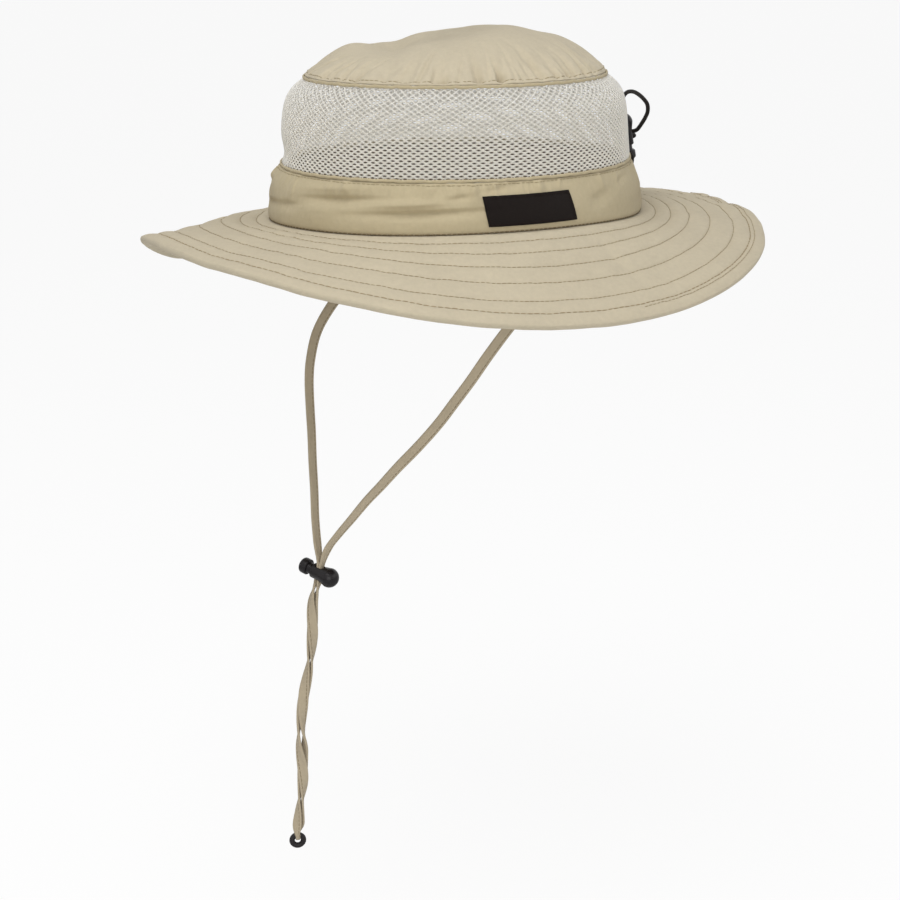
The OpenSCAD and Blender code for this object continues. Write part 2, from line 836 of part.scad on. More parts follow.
module drawcord_elastic() {
    inset = band_inset(cord_z) + shell_t + cord_d / 2 + 2 * lay_gap;
    for (side = [-1, 1]) round_cord([
        for (i = [0 : elastic_steps])
            oval(side * lerp(elastic_phi, 180 - eyelet_phi * elastic_end, i / elastic_steps), inset, cord_z)
    ]);
}

rear_half_gap = (cord_d + strand_gap) / 2;

// Where a strand of the drawcord lies in the rear lock, and where it comes out of an eyelet
function in_rear_lock(side, out) = rear_lock_at + side * rear_half_gap * rear_axis + out * rear_pass;
function past_eyelet(side, out) =
    let (
        lean = eyelet_lean(side),
        way = [cos(lean) * cos(eyelet_tilt), sin(lean) * cos(eyelet_tilt), sin(eyelet_tilt)]
    )
    eyelet_at(side) + out * way;

// Points of the loop, measured from the back of the crown's oval at the brim
left_lead = [[5.4, 0.6, 20], [3.6, -1.2, 24], [0.8, -3.2, 27.4], [-2.4, -4.7, 30.2]];
right_lead = [[-8.2, -0.4, 17.6], [-8.4, -1.4, 20.6], [-7.2, -2.8, 23.8], [-5.2, -4, 26.8]];
loop_points = [
    [-2.5, 8, 34.6], [1.5, 8.2, 38], [6, 7.9, 42], [9.4, 7.4, 46], [9.6, 6.8, 50], [6, 6, 53],
    [0.5, 5.6, 55], [-5, 5.4, 55.6], [-11, 5.4, 54.4], [-15.8, 5.8, 50.8], [-18, 6.6, 46],
    [-17.4, 7.2, 41.4], [-15, 7.8, 37.4], [-11.6, 8.4, 33.8], [-7.8, 8.8, 31.2]
];

module drawcord_loop() {
    round_cord(concat(
        [past_eyelet(1, -shell_t), past_eyelet(1, eyelet_lead)],
        [for (p = left_lead) rear_back + p],
        [for (out = [-lock_lead, 0, lock_lead]) in_rear_lock(1, out)],
        [for (p = loop_points) rear_back + p],
        [for (out = [lock_lead, 0, -lock_lead]) in_rear_lock(-1, out)],
        [for (p = backwards(right_lead)) rear_back + p],
        [past_eyelet(-1, eyelet_lead), past_eyelet(-1, -shell_t)]
    ));
}

crown_tip();
tip_seam_welt();
mesh_band();
band_seam_welt();
crown_band();
sweatband();
brim_top();
brim_interlining();
brim_underside();
side_label();
strap_tab_left();
strap_tab_right();
drawcord_elastic();
drawcord_eyelets();
drawcord_loop();
rear_lock_body();
rear_lock_plunger();
rear_lock_spring();
chin_strap_left();
chin_strap_right();
chin_strap_tail();
chin_end_ring();
chin_lock_body();
chin_lock_plunger();
chin_lock_spring();
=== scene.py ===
"""Boonie hat: cloth, open mesh, stitching, chin strap and drawcord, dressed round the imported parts."""

import json
import math
import random

import bmesh
import bpy
import numpy as np
from bpy.props import FloatProperty, FloatVectorProperty, IntProperty, PointerProperty
from mathutils import Matrix, Vector, noise


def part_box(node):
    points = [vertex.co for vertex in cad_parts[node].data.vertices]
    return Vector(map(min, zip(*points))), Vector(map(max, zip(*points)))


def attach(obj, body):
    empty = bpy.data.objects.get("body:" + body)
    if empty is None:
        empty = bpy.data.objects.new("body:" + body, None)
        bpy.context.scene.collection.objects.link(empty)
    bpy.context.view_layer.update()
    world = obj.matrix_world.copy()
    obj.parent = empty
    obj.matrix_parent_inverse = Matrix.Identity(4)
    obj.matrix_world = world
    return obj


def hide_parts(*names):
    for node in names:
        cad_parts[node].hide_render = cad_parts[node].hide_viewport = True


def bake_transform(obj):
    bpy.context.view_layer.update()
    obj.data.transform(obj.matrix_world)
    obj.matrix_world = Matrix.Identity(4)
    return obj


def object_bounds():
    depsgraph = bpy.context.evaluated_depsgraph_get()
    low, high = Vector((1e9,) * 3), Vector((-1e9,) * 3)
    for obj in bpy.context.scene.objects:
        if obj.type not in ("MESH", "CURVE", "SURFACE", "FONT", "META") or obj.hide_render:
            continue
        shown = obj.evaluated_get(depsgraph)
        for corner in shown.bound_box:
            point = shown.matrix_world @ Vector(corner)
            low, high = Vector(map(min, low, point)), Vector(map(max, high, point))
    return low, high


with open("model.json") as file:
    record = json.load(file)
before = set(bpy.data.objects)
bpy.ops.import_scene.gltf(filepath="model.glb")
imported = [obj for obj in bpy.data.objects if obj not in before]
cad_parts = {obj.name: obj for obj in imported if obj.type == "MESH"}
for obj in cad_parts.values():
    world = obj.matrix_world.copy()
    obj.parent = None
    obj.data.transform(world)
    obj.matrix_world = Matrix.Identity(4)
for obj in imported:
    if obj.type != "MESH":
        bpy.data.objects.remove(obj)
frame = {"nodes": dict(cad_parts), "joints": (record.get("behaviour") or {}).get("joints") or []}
CAD_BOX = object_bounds()
MM = 0.001

bl_info = {
    "name": "Boonie hat",
    "version": (1, 0, 0),
    "blender": (4, 5, 0),
    "location": "View3D > Sidebar > Hat",
    "description": "Dresses a boonie hat: woven crown, open mesh, stitched brim, chin strap and drawcord",
    "category": "Add Mesh",
}


# Properties


def length(name, description, millimetres):
    """A length property, written in millimetres."""
    return FloatProperty(name=name, description=description, default=millimetres * MM, unit="LENGTH")


def share(name, description, default):
    """A plain number property."""
    return FloatProperty(name=name, description=description, default=default)


def angle(name, description, degrees):
    """An angle property, written in degrees."""
    return FloatProperty(name=name, description=description, default=math.radians(degrees), subtype="ANGLE")


def colour(name, description, default):
    """A colour property."""
    return FloatVectorProperty(
        name=name, description=description, default=default, size=3, subtype="COLOR", min=0, max=1
    )


class CrownSizes(bpy.types.PropertyGroup):
    """Sizes of the crown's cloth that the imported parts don't give."""

    cloth: length("Cloth", "Thickness of the woven cloth", 0.6)
    band_curve: share("Band curve", "Power of the band's inward lean", 2.2)
    mesh_lean: length("Mesh lean", "Even inward lean of the mesh band", 3.4)
    shoulder_curve: share("Shoulder curve", "Power of the mesh band's turn at its shoulder", 7)
    tip_slump: length("Tip slump", "Depth of the slump in the front half of the tip", 8.5)
    dome_curve: share("Dome curve", "Power of the dome across its radius", 3)
    dome_fullness: share("Dome fullness", "Power of the dome's height", 0.8)
    fold_depth: length("Fold depth", "Depth of the soft folds in the band", 2.5)
    pucker_depth: length("Pucker depth", "Height of the puckers below the band's seam", 1.76)
    gather_depth: length("Gather depth", "Depth of the gathers above the tip's seam", 2.16)
    net_columns: IntProperty(name="Net columns", description="Holes of the mesh in one row", default=137)
    net_rows: IntProperty(name="Net rows", description="Staggered rows of holes in the mesh", default=35)
    net_thread: length("Net thread", "Half the thickness of the mesh's threads", 0.32)


class BrimSizes(bpy.types.PropertyGroup):
    """Sizes of the brim and its stitching."""

    width: length("Width", "From the crown to the edge", 69)
    margin: length("Margin", "Sewn margin under the crown", 4.5)
    thickness: length("Thickness", "All the layers of the brim at the crown", 2.4)
    edge_gain: length("Edge gain", "Further thickness towards the edge", 0.6)
    cloth: length("Cloth", "Thickness of each outer cloth", 0.5)
    hem: length("Hem", "Width of the hem that is turned under", 9)
    droop_front: angle("Front droop", "Slope of the brim at the front", 6.5)
    droop_back: angle("Back droop", "Slope of the brim at the back", 9)
    droop_left: angle("Left droop", "Slope of the brim on the wearer's left", 34.5)
    droop_right: angle("Right droop", "Slope of the brim on the wearer's right", 34)
    droop_turn: angle("Droop turn", "How far the droop is turned from the sides towards the back", 7.5)
    hem_turn: angle("Hem turn", "Further slope that the hem gains at the edge", 19)
    fold: angle("Front fold", "Further slope of the edge in the fold on the right of the front", 49)
    row_first: length("First row", "First stitch row from the crown", 6.5)
    row_pitch: length("Row pitch", "Least distance between the stitch rows", 8)
    row_spread: length("Row spread", "How much the rows open out towards the edge", 0.75)
    row_hem: length("Hem row", "Stitch row that holds the hem", 60)
    row_double: length("Double row", "Distance of the second row beside the hem row", 2.3)
    puff: length("Puff", "Rise of the padded channels between the rows", 0.7)
    groove: length("Groove", "Depth to which a row pulls the cloth down", 0.15)


class StitchSizes(bpy.types.PropertyGroup):
    """Sizes of the sewing thread."""

    pitch: length("Pitch", "Distance from stitch to stitch", 2.7)
    reach: length("Reach", "Length of one stitch", 2.5)
    thread: length("Thread", "Thickness of the thread", 0.42)


class StrapSizes(bpy.types.PropertyGroup):
    """Sizes of the chin strap and the drawcord."""

    width: length("Width", "Width of the flat strap", 5.9)
    thickness: length("Thickness", "Thickness of the flat strap", 1.5)
    lock_width: length("Width in the lock", "Width where the cord lock gathers the strap", 4)
    ring_width: length("Width in the ring", "Width where the strap passes through the ring", 2.6)
    cord: length("Drawcord", "Diameter of the elastic drawcord", 2.3)


class HatColours(bpy.types.PropertyGroup):
    """Colours of the hat."""

    khaki: colour("Khaki", "Woven shell", (0.55, 0.482, 0.352))
    band: colour("Band", "Band round the foot of the crown", (0.50, 0.425, 0.275))
    # Lining darker than the shell: partly its own cloth, partly painted shade under the brim
    lining: colour("Lining", "Underside of the brim", (0.37, 0.32, 0.23))
    strap: colour("Strap", "Folded strap cloth", (0.475, 0.40, 0.282))
    # Sweatband kept very dark: partly its own cloth, partly painted shade inside the crown
    sweat: colour("Sweatband", "Wicking cloth inside the crown", (0.14, 0.105, 0.065))
    core: colour("Interlining", "Stiffening sheet inside the brim", (0.7, 0.68, 0.62))
    net: colour("Mesh", "Open knit", (0.93, 0.85, 0.69))
    thread: colour("Thread", "Sewing thread", (0.32, 0.25, 0.15))
    seam: colour("Seam thread", "Sewing thread of the crown's seams", (0.34, 0.28, 0.17))
    # Partly the strap's own thread and partly painted shadow: along the seam at the brim this dark thread is
    # a line standing for the shade in the gap
    dark: colour("Dark thread", "Sewing thread of the strap and of the seam at the brim", (0.20, 0.15, 0.085))
    black: colour("Black", "Moulded locks and ring", (0.008, 0.006, 0.007))
    label: colour("Label", "Woven label and elastic", (0.008, 0.005, 0.004))
    steel: colour("Steel", "Lock springs", (0.55, 0.55, 0.57))


PROPERTY_GROUPS = {
    "hat_crown": CrownSizes,
    "hat_brim": BrimSizes,
    "hat_stitch": StitchSizes,
    "hat_strap": StrapSizes,
    "hat_colours": HatColours,
}


# Meshes


def grid_mesh(name, points, close_along=False, close_across=False, caps=False, flip=False):
    """A quad mesh from points[along, across], with a UV map in metres that follows the cloth."""
    points = np.asarray(points, float)
    along, across = points.shape[:2]
    index = np.arange(along * across).reshape(along, across)
    i_next = np.roll(index, -1, 0)
    j_next = np.roll(index, -1, 1)
    both = np.roll(i_next, -1, 1)
    quads = np.stack([index, i_next, both, j_next], -1)
    if not close_along:
        quads = quads[:-1]
    if not close_across:
        quads = quads[:, :-1]
    u, v = grid_lengths(points)
    rows, columns = quads.shape[:2]
    corner_u = [u[:rows, :columns], u[1 : rows + 1, :columns]]
    corner_u += [u[1 : rows + 1, 1 : columns + 1], u[:rows, 1 : columns + 1]]
    corner_v = [v[:rows, :columns], v[1 : rows + 1, :columns]]
    corner_v += [v[1 : rows + 1, 1 : columns + 1], v[:rows, 1 : columns + 1]]
    uv = np.stack([np.stack(corner_u, -1), np.stack(corner_v, -1)], -1).reshape(-1, 2)
    faces = quads.reshape(-1, 4)
    if flip:
        faces = faces[:, ::-1]
        uv = uv.reshape(-1, 4, 2)[:, ::-1].reshape(-1, 2)
    rings = []
    if caps:
        rings = [list(map(int, index[0])), list(map(int, index[-1, ::-1]))]
        if flip:
            rings = [ring[::-1] for ring in rings]
    mesh = bpy.data.meshes.new(name)
    mesh.from_pydata(points.reshape(-1, 3).tolist(), [], faces.tolist() + rings)
    layer = mesh.uv_layers.new(name="cloth")
    values = np.zeros((len(mesh.loops), 2), np.float32)
    values[: len(uv)] = uv
    layer.data.foreach_set("uv", values.ravel())
    mesh.shade_smooth()
    return mesh


def grid_lengths(points):
    """Lengths in metres along and across a grid of points, with one step more for a closed turn."""
    wrapped = np.concatenate([points, points[:1]], 0)
    wrapped = np.concatenate([wrapped, wrapped[:, :1]], 1)
    step_u = np.linalg.norm(np.diff(wrapped, axis=0), axis=-1).mean(1)
    step_v = np.linalg.norm(np.diff(wrapped, axis=1), axis=-1).mean(0)
    u = np.concatenate([[0], np.cumsum(step_u)])
    v = np.concatenate([[0], np.cumsum(step_v)])
    return np.meshgrid(u, v, indexing="ij")


def wear(mesh, finish):
    """Gives every face of a mesh one finish."""
    mesh.materials.clear()
    mesh.materials.append(finish)
    mesh.polygons.foreach_set("material_index", np.zeros(len(mesh.polygons), np.int32))


def add_object(name, mesh, finish=None):
    """An object at the origin with one finish."""
    piece = bpy.data.objects.new(name, mesh)
    bpy.context.scene.collection.objects.link(piece)
    if finish is not None:
        wear(mesh, finish)
    return piece


def settle(piece):
    """The piece with its modifiers turned into plain mesh."""
    bpy.context.view_layer.update()
    depsgraph = bpy.context.evaluated_depsgraph_get()
    mesh = bpy.data.meshes.new_from_object(piece.evaluated_get(depsgraph), depsgraph=depsgraph)
    piece.modifiers.clear()
    piece.data = mesh
    mesh.name = piece.name
    return piece


def thicken(piece, thickness):
    """Gives a cloth its thickness, inwards from its face."""
    wall = piece.modifiers.new("thickness", "SOLIDIFY")
    wall.thickness = thickness
    wall.offset = -1
    return settle(piece)


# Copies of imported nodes: distance between corners that are one, angle between triangles that are one face,
# and angles from which an edge is rounded and is shown sharp
WELD = 0.001 * MM
FLAT = math.radians(1)
ROUNDED = math.radians(35)
SHARP = math.radians(40)


def smooth_copy(node, name, finish, edge):
    """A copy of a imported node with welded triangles, rounded edges and smooth faces."""
    mesh = frame["nodes"][node].data.copy()
    builder = bmesh.new()
    builder.from_mesh(mesh)
    bmesh.ops.remove_doubles(builder, verts=builder.verts, dist=WELD)
    bmesh.ops.dissolve_limit(builder, angle_limit=FLAT, verts=builder.verts, edges=builder.edges)
    builder.to_mesh(mesh)
    builder.free()
    piece = add_object(name, mesh, finish)
    round_over = piece.modifiers.new("edges", "BEVEL")
    round_over.width = edge
    round_over.segments = 3
    round_over.limit_method = "ANGLE"
    round_over.angle_limit = ROUNDED
    settle(piece)
    piece.data.shade_smooth()
    piece.data.set_sharp_from_angle(angle=SHARP)
    return piece


def dress(piece, body, slot, *nodes):
    """A finished piece rides on its body and stands for its nodes. Its slot is not used."""
    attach(piece, body)
    if nodes:
        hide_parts(*nodes)
    return piece


# Shapes of the hat


def smoothstep(low, high, value):
    """0 below low, 1 above high and an even ramp between."""
    t = np.clip((value - low) / (high - low), 0, 1)
    return t * t * (3 - 2 * t)


def mix(first, second, part):
    """A value on the way from one to another."""
    return first + (second - first) * part


def turn_gap(phi, at):
    """The signed angle from one angle to another, the short way round."""
    return (phi - at + math.pi) % (2 * math.pi) - math.pi


def field(points, scale, seed):
    """Smooth noise from -1 to 1 at each point of an array, with features of about one scale."""
    shift = Vector((seed * 3.7, seed * 1.9, seed * 5.3))
    flat = np.asarray(points, float).reshape(-1, 3) / scale
    values = [noise.noise(Vector(p) + shift) for p in flat]
    return np.array(values).reshape(np.asarray(points).shape[:-1])


def relief(points, layers):
    """Sum of layers of noise, each with a size and a height in millimetres and a seed."""
    return sum(field(points, size * MM, seed) * height * MM for size, height, seed in layers)


def turns(count):
    """Evenly spaced angles for a closed turn."""
    return np.linspace(0, 2 * math.pi, count, endpoint=False)


def level_way(turn):
    """Level unit direction at an angle from X."""
    return np.stack([np.cos(turn), np.sin(turn), 0 * turn], -1)


def level_side(turn):
    """Level unit direction square to the one at an angle from X."""
    return np.stack([-np.sin(turn), np.cos(turn), 0 * turn], -1)


class Crown:
    """Where the crown's cloth lies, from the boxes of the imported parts."""

    # The lists below give lengths in millimetres and angles in degrees
    # Soft folds of the band: angle from the front, height, half length, half height, share of depth
    FOLDS = [
        (31, 15, 24, 3.0, 1.2), (29, 20.5, 22, 2.6, -0.5), (58, 10, 30, 2.4, 1.1), (55, 14.5, 24, 2.2, -0.6),
        (8, 9, 14, 3.4, 0.6), (68, 17, 8, 2.5, 0.6), (80, 21, 9, 2.5, 0.5), (116, 13, 8, 4.5, 0.5),
        (130, 19, 9, 2.5, 0.35), (150, 7, 18, 3.5, 0.3), (198, 20, 20, 2.5, 0.3), (236, 7, 24, 3.0, 0.6),
        (268, 16, 22, 3.5, 0.9), (306, 9, 22, 4.0, 0.8), (338, 16, 18, 3.5, 0.8), (352, 7, 15, 3.0, 0.6),
    ]
    # How much steeper the flank between a fold and its ridge is than the other one
    CREASE = 1.7
    # How far a fold climbs over its half length
    FOLD_CLIMB = 1.2 * MM
    # Where a pucker is highest, as a share of its reach
    PUCKER_PEAK = 0.6
    # Tuck of the band's foot into the seam at the brim: depth, and height over which it fades
    TUCK = 2.4 * MM
    TUCK_FADE = 0.8 * MM
    # Faint ripple of the band: height, waves in a turn, turn in a metre of height, height where it is full
    RIPPLE = 0.25 * MM
    RIPPLE_WAVES = 5
    RIPPLE_TURN = 90
    RIPPLE_FULL = 6 * MM
    # Where the creases along the seams lie closer: angle from the front and its spread
    CLOSE_AT = math.radians(82)
    CLOSE_SPREAD = math.radians(26)
    # Where the wall falls in or out: angle from the front, height, half angle, half height, distance out
    SAGS = [(152, 40, 20, 60, -2.2), (-22, 31, 24, 7, -2.6), (-22, 18, 24, 6, 1.6)]
    # Where the seam at the brim lies lower: angle from the front, half angle, depth
    DIPS = [(-25, 34, 4.0), (30, 40, 1.6), (152, 32, 3.2)]
    # Humps and hollows of the tip: place across and back, radius, height
    HUMPS = [(-24, -53, 12, 3.4), (-15, -32, 14, -2.4), (0, -2, 28, -2.2), (31, 66, 14, -2.2)]
    # Shallow troughs that run straight over the tip: way across them, place along it, half width, depth
    TROUGH_WAY = math.radians(65)
    TROUGHS = [(-35, 8, 1.9), (-4, 20, 1.3), (43, 11, 1.4)]
    # Soft dents of the tip: size, height, seed
    DENTS = [(34, 1.0, 3), (13, 0.5, 5)]
    # Shares of the radius, in from the seam, at which the gathers and the dents are full
    GATHERS_FULL = 0.02
    DENTS_FULL = 0.12
    # Small step for the slope of the dome
    STEP = 1e-3

    def __init__(self, sizes):
        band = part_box("crown_band")[1]
        mesh_foot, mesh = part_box("mesh_band")
        tip_foot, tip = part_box("crown_tip")
        self.sizes = sizes
        self.half_x = band.x
        self.half_y = band.y
        self.band_top = band.z
        self.mesh_foot = mesh_foot.z
        self.mesh_top = mesh.z
        self.tip_foot = tip_foot.z
        self.tip_height = tip.z - tip_foot.z
        self.band_lean = band.x - mesh.x
        self.tip_inset = band.x - tip.x
        self.mesh_inset_top = self.tip_inset - (tip_foot.z - mesh.z) / 2
        self.shoulder = self.mesh_inset_top - self.band_lean - sizes.mesh_lean
        self.puckers = self.make_creases(
            seed=11, count=90, widths=(0.010, 0.022), reaches=(3, 7), depths=(0.15, 0.5)
        )
        self.gathers = self.make_creases(
            seed=23, count=110, widths=(0.012, 0.034), reaches=(0.06, 0.26), depths=(0.2, 1.0)
        )

    def make_creases(self, seed, count, widths, reaches, depths):
        """Seeded creases along a seam: angle, width, reach, depth and slant, closer on the left side."""
        draw = random.Random(seed)
        creases = []
        for k in range(count):
            phi = draw.uniform(0, 2 * math.pi)
            if k % 3 == 0:
                phi = draw.gauss(self.CLOSE_AT, self.CLOSE_SPREAD)
            depth = draw.uniform(*depths)
            creases.append((phi, draw.uniform(*widths), draw.uniform(*reaches), depth, draw.uniform(-1, 1)))
        return creases

    def oval(self, phi, inset, z):
        """Point of the crown's oval at an angle from the front, moved in by inset."""
        phi, inset, z = np.broadcast_arrays(phi, inset, z)
        return np.stack(
            [(self.half_x - inset) * np.sin(phi), -(self.half_y - inset) * np.cos(phi), z], -1
        )

    def sag(self, phi, z):
        """How far the wall falls out at an angle and a height, in where it is negative."""
        out = np.zeros(np.broadcast(phi, z).shape)
        for at, height, half_turn, half, depth in self.SAGS:
            along = turn_gap(phi, math.radians(at)) / math.radians(half_turn)
            up = (z - height * MM) / (half * MM)
            out = out + depth * MM * np.exp(-(along**2) - up**2)
        return out

    def seam_dip(self, phi):
        """How far the seam at the brim lies below its plane at an angle."""
        dip = np.zeros(np.shape(phi))
        for at, half_turn, depth in self.DIPS:
            along = turn_gap(phi, math.radians(at)) / math.radians(half_turn)
            dip = dip + depth * MM * np.exp(-(along**2))
        return dip

    def band_inset(self, z):
        """How far the band leans in at a height."""
        return self.band_lean * np.power(np.maximum(z, 0) / self.band_top, self.sizes.band_curve)

    def band_lift(self, phi, z):
        """Height of the band's folds, puckers and tucked foot above its plain face."""
        phi, z = np.broadcast_arrays(phi, z)
        lift = np.zeros(phi.shape)
        for at, height, reach, half, depth in self.FOLDS:
            along = turn_gap(phi, math.radians(at)) * self.half_y / (reach * MM)
            up = (z - height * MM - along * self.FOLD_CLIMB) / (half * MM)
            up = np.where(up * depth > 0, up * self.CREASE, up)
            lift -= depth * self.sizes.fold_depth * np.exp(-along**2 - up**2)
        for at, width, reach, depth, slant in self.puckers:
            down = (self.band_top - z) / (reach * MM)
            along = turn_gap(phi, at + slant * width * down) / width
            rise = np.exp(-(along**2)) * np.exp(-((down - self.PUCKER_PEAK) ** 2))
            lift += depth * self.sizes.pucker_depth * rise
        lift -= self.TUCK * np.exp(-(z + self.seam_dip(phi)) / self.TUCK_FADE)
        ripple = self.RIPPLE * np.sin(self.RIPPLE_WAVES * phi + self.RIPPLE_TURN * z)
        return lift + ripple * smoothstep(0, self.RIPPLE_FULL, z)

    def band_point(self, phi, z, out=0.0):
        """Point of the band's finished face, so far outside it."""
        return self.oval(phi, self.band_inset(z) - self.band_lift(phi, z) - self.sag(phi, z) - out, z)

    def tip_plain(self, phi, rho):
        """Point of the tip's plain dome at an angle and a share of its radius."""
        sizes = self.sizes
        front = np.square((1 + np.cos(phi)) / 2)
        fullness = np.power(np.maximum(1 - np.power(rho, sizes.dome_curve), 0), sizes.dome_fullness)
        rise = self.tip_height * fullness - sizes.tip_slump * 4 * rho * (1 - rho) * front
        inset = self.tip_inset - self.sag(phi, self.tip_foot)
        reach_x = (self.half_x - inset) * rho
        reach_y = (self.half_y - inset) * rho
        return np.stack([reach_x * np.sin(phi), -reach_y * np.cos(phi), self.tip_foot + rise], -1)

    def tip_lift(self, phi, rho):
        """Height of the gathers above the seam and of the soft dents of the dome."""
        lift = np.zeros(phi.shape)
        for at, width, reach, depth, slant in self.gathers:
            in_from_seam = (1 - rho) / reach
            along = turn_gap(phi, at + slant * 2 * width * in_from_seam) / width
            lift -= depth * self.sizes.gather_depth * np.exp(-(along**2)) * np.exp(-(in_from_seam**2))
        lift *= smoothstep(0, self.GATHERS_FULL, 1 - rho)
        plain = self.tip_plain(phi, rho)
        dents = relief(plain, self.DENTS)
        for across, back, radius, height in self.HUMPS:
            from_x = plain[..., 0] - across * MM
            from_y = plain[..., 1] - back * MM
            dents = dents + height * MM * np.exp(-(from_x**2 + from_y**2) / (radius * MM) ** 2)
        along = plain[..., 0] * math.cos(self.TROUGH_WAY) + plain[..., 1] * math.sin(self.TROUGH_WAY)
        for place, half, depth in self.TROUGHS:
            dents = dents - depth * MM * np.exp(-(((along - place * MM) / (half * MM)) ** 2))
        return lift + dents * smoothstep(0, self.DENTS_FULL, 1 - rho)

    def tip_point(self, phi, rho, out=0.0):
        """Point of the tip's finished face, so far outside it."""
        phi, rho = np.broadcast_arrays(phi, rho)
        step = self.STEP
        across = self.tip_plain(phi + step, rho) - self.tip_plain(phi - step, rho)
        inward = self.tip_plain(phi, rho - step) - self.tip_plain(phi, np.minimum(rho + step, 1))
        normal = np.cross(across, inward)
        normal /= np.maximum(np.linalg.norm(normal, axis=-1, keepdims=True), 1e-12)
        return self.tip_plain(phi, rho) + normal * (self.tip_lift(phi, rho) + out)[..., None]


class Brim:
    """Where the brim's layers lie round the crown."""

    # The lists below give lengths in millimetres and angles in degrees
    # Steps from the crown in which the slope is summed
    STEPS = 40
    # Rows of stitches inside the hem
    ROWS = 5
    # Share by which the slope changes from the crown to the edge on the wearer's left and right
    LEFT_GAIN = -0.3
    RIGHT_GAIN = -1.0
    # Power that keeps the droop of the sides away from the front and the back
    SIDE_FOCUS = 2.4
    # Droop at which the hem takes its full turn, and the steepest slope of all
    HEM_DROOP = math.radians(30)
    STEEPEST = math.radians(75)
    # Middle and half width of the fold on the right of the front
    FOLD_AT = math.radians(-37)
    FOLD_HALF = math.radians(18.5)
    # Distance from the crown at which the dips of its seam have faded
    DIP_REACH = 26 * MM
    # Creases: angle from the front, distance from the crown, half length out, half width, depth, slant
    CREASES = [
        (108, 32, 24, 3.6, 0.9, 0.25), (159, 27, 8, 4.0, 0.9, 0.3), (62, 30, 10, 4.0, 0.4, 0.3),
        (48, 69, 40, 60, 1.4, 0), (4, 64, 20, 30, -2.0, 0),
        (36, 40, 12, 4.0, 0.4, -0.5), (177, 64, 9, 4.0, 1.6, 0.5), (185, 64, 9, 3.5, 1.8, -0.4),
        (192, 62, 10, 4.0, 1.2, 0.3), (214, 52, 12, 5.0, 1.0, 0.4), (240, 46, 12, 5.0, 0.8, -0.4),
        (286, 50, 12, 5.0, 0.8, 0.4), (322, 55, 10, 4.0, 0.8, -0.3),
    ]
    # Angles between which the hem has a second row of stitches
    DOUBLE = (math.radians(104), math.radians(256))
    DOUBLE_FADE = 0.03
    # Padded channels: power of their height by their width, and power of their round section
    PUFF_GAIN = 0.5
    PUFF_ROUND = 0.9
    # Puckers along a row: height, half width, and the size and seed of their noise. Half width of its groove
    PULL = 0.4 * MM
    PULL_HALF = 2.6 * MM
    PULL_SIZE = 5 * MM
    PULL_SEED = 9
    GROOVE_HALF = 0.6 * MM
    # Soft waves of the whole brim, and looser ones at the back edge: size, height, seed
    WAVES = [(34, 0.7, 2), (11, 0.35, 7)]
    BACK_WAVES = [(20, 2.0, 4)]
    # Where the looser waves are: shares of the brim's width and of the turn to the back
    BACK_OUT = (0.5, 1)
    BACK_TURN = (0.7, 0.95)
    # Distance from the crown at which the waves are full
    WAVES_FULL = 10 * MM
    # Girth of the brim's middle, beside the crown's
    GIRTH = 1.4
    # Distances from the crown between which the edge gains thickness, and share of the puff seen below
    GAIN_RUNS = (20 * MM, 50 * MM)
    UNDER_PUFF = 0.6

    def __init__(self, sizes, crown):
        self.sizes = sizes
        self.crown = crown
        self.rows = [
            sizes.row_first + sizes.row_pitch * k + sizes.row_spread * k**2 for k in range(self.ROWS)
        ]
        self.rows += [sizes.row_hem, sizes.row_hem + sizes.row_double]

    def left_share(self, phi):
        """1 on the wearer's left, 0 on the right and an even ramp between."""
        return smoothstep(-1, 1, np.sin(phi - self.sizes.droop_turn))

    def droop(self, phi):
        """Slope of the brim where it leaves the crown."""
        sizes = self.sizes
        turned = phi - sizes.droop_turn
        ends = mix(sizes.droop_back, sizes.droop_front, (1 + np.cos(turned)) / 2)
        side = mix(sizes.droop_right, sizes.droop_left, self.left_share(phi))
        return mix(ends, side, np.abs(np.sin(turned)) ** self.SIDE_FOCUS)

    def slope(self, phi, run):
        """Slope of the brim at a distance from the crown, in radians."""
        sizes = self.sizes
        gain = mix(self.RIGHT_GAIN, self.LEFT_GAIN, self.left_share(phi))
        hem = np.maximum(0, (run - sizes.width + sizes.hem) / sizes.hem)
        reach = run / sizes.width
        part = 1 + gain * reach**2 + hem * sizes.hem_turn / self.HEM_DROOP
        fold = sizes.fold * np.exp(-((turn_gap(phi, self.FOLD_AT) / self.FOLD_HALF) ** 2))
        return np.minimum(self.droop(phi) * part + fold * reach**2, self.STEEPEST)

    def point(self, phi, run, depth=0.0):
        """Point of the brim at a distance from the crown, sunk below its plain top face."""
        phi, run, depth = np.broadcast_arrays(phi, run, depth)
        reach = np.zeros(phi.shape)
        fall = np.zeros(phi.shape)
        step = np.maximum(run, 0) / self.STEPS
        for k in range(self.STEPS):
            slope = self.slope(phi, step * (k + 0.5))
            reach = reach + step * np.cos(slope)
            fall = fall - step * np.sin(slope)
        reach = reach + np.minimum(run, 0)
        fall = fall - self.crown.seam_dip(phi) * (1 - smoothstep(0, self.DIP_REACH, run))
        slope = np.where(run > 0, self.slope(phi, run), 0)
        return self.crown.oval(phi, depth * np.sin(slope) - reach, fall - depth * np.cos(slope))

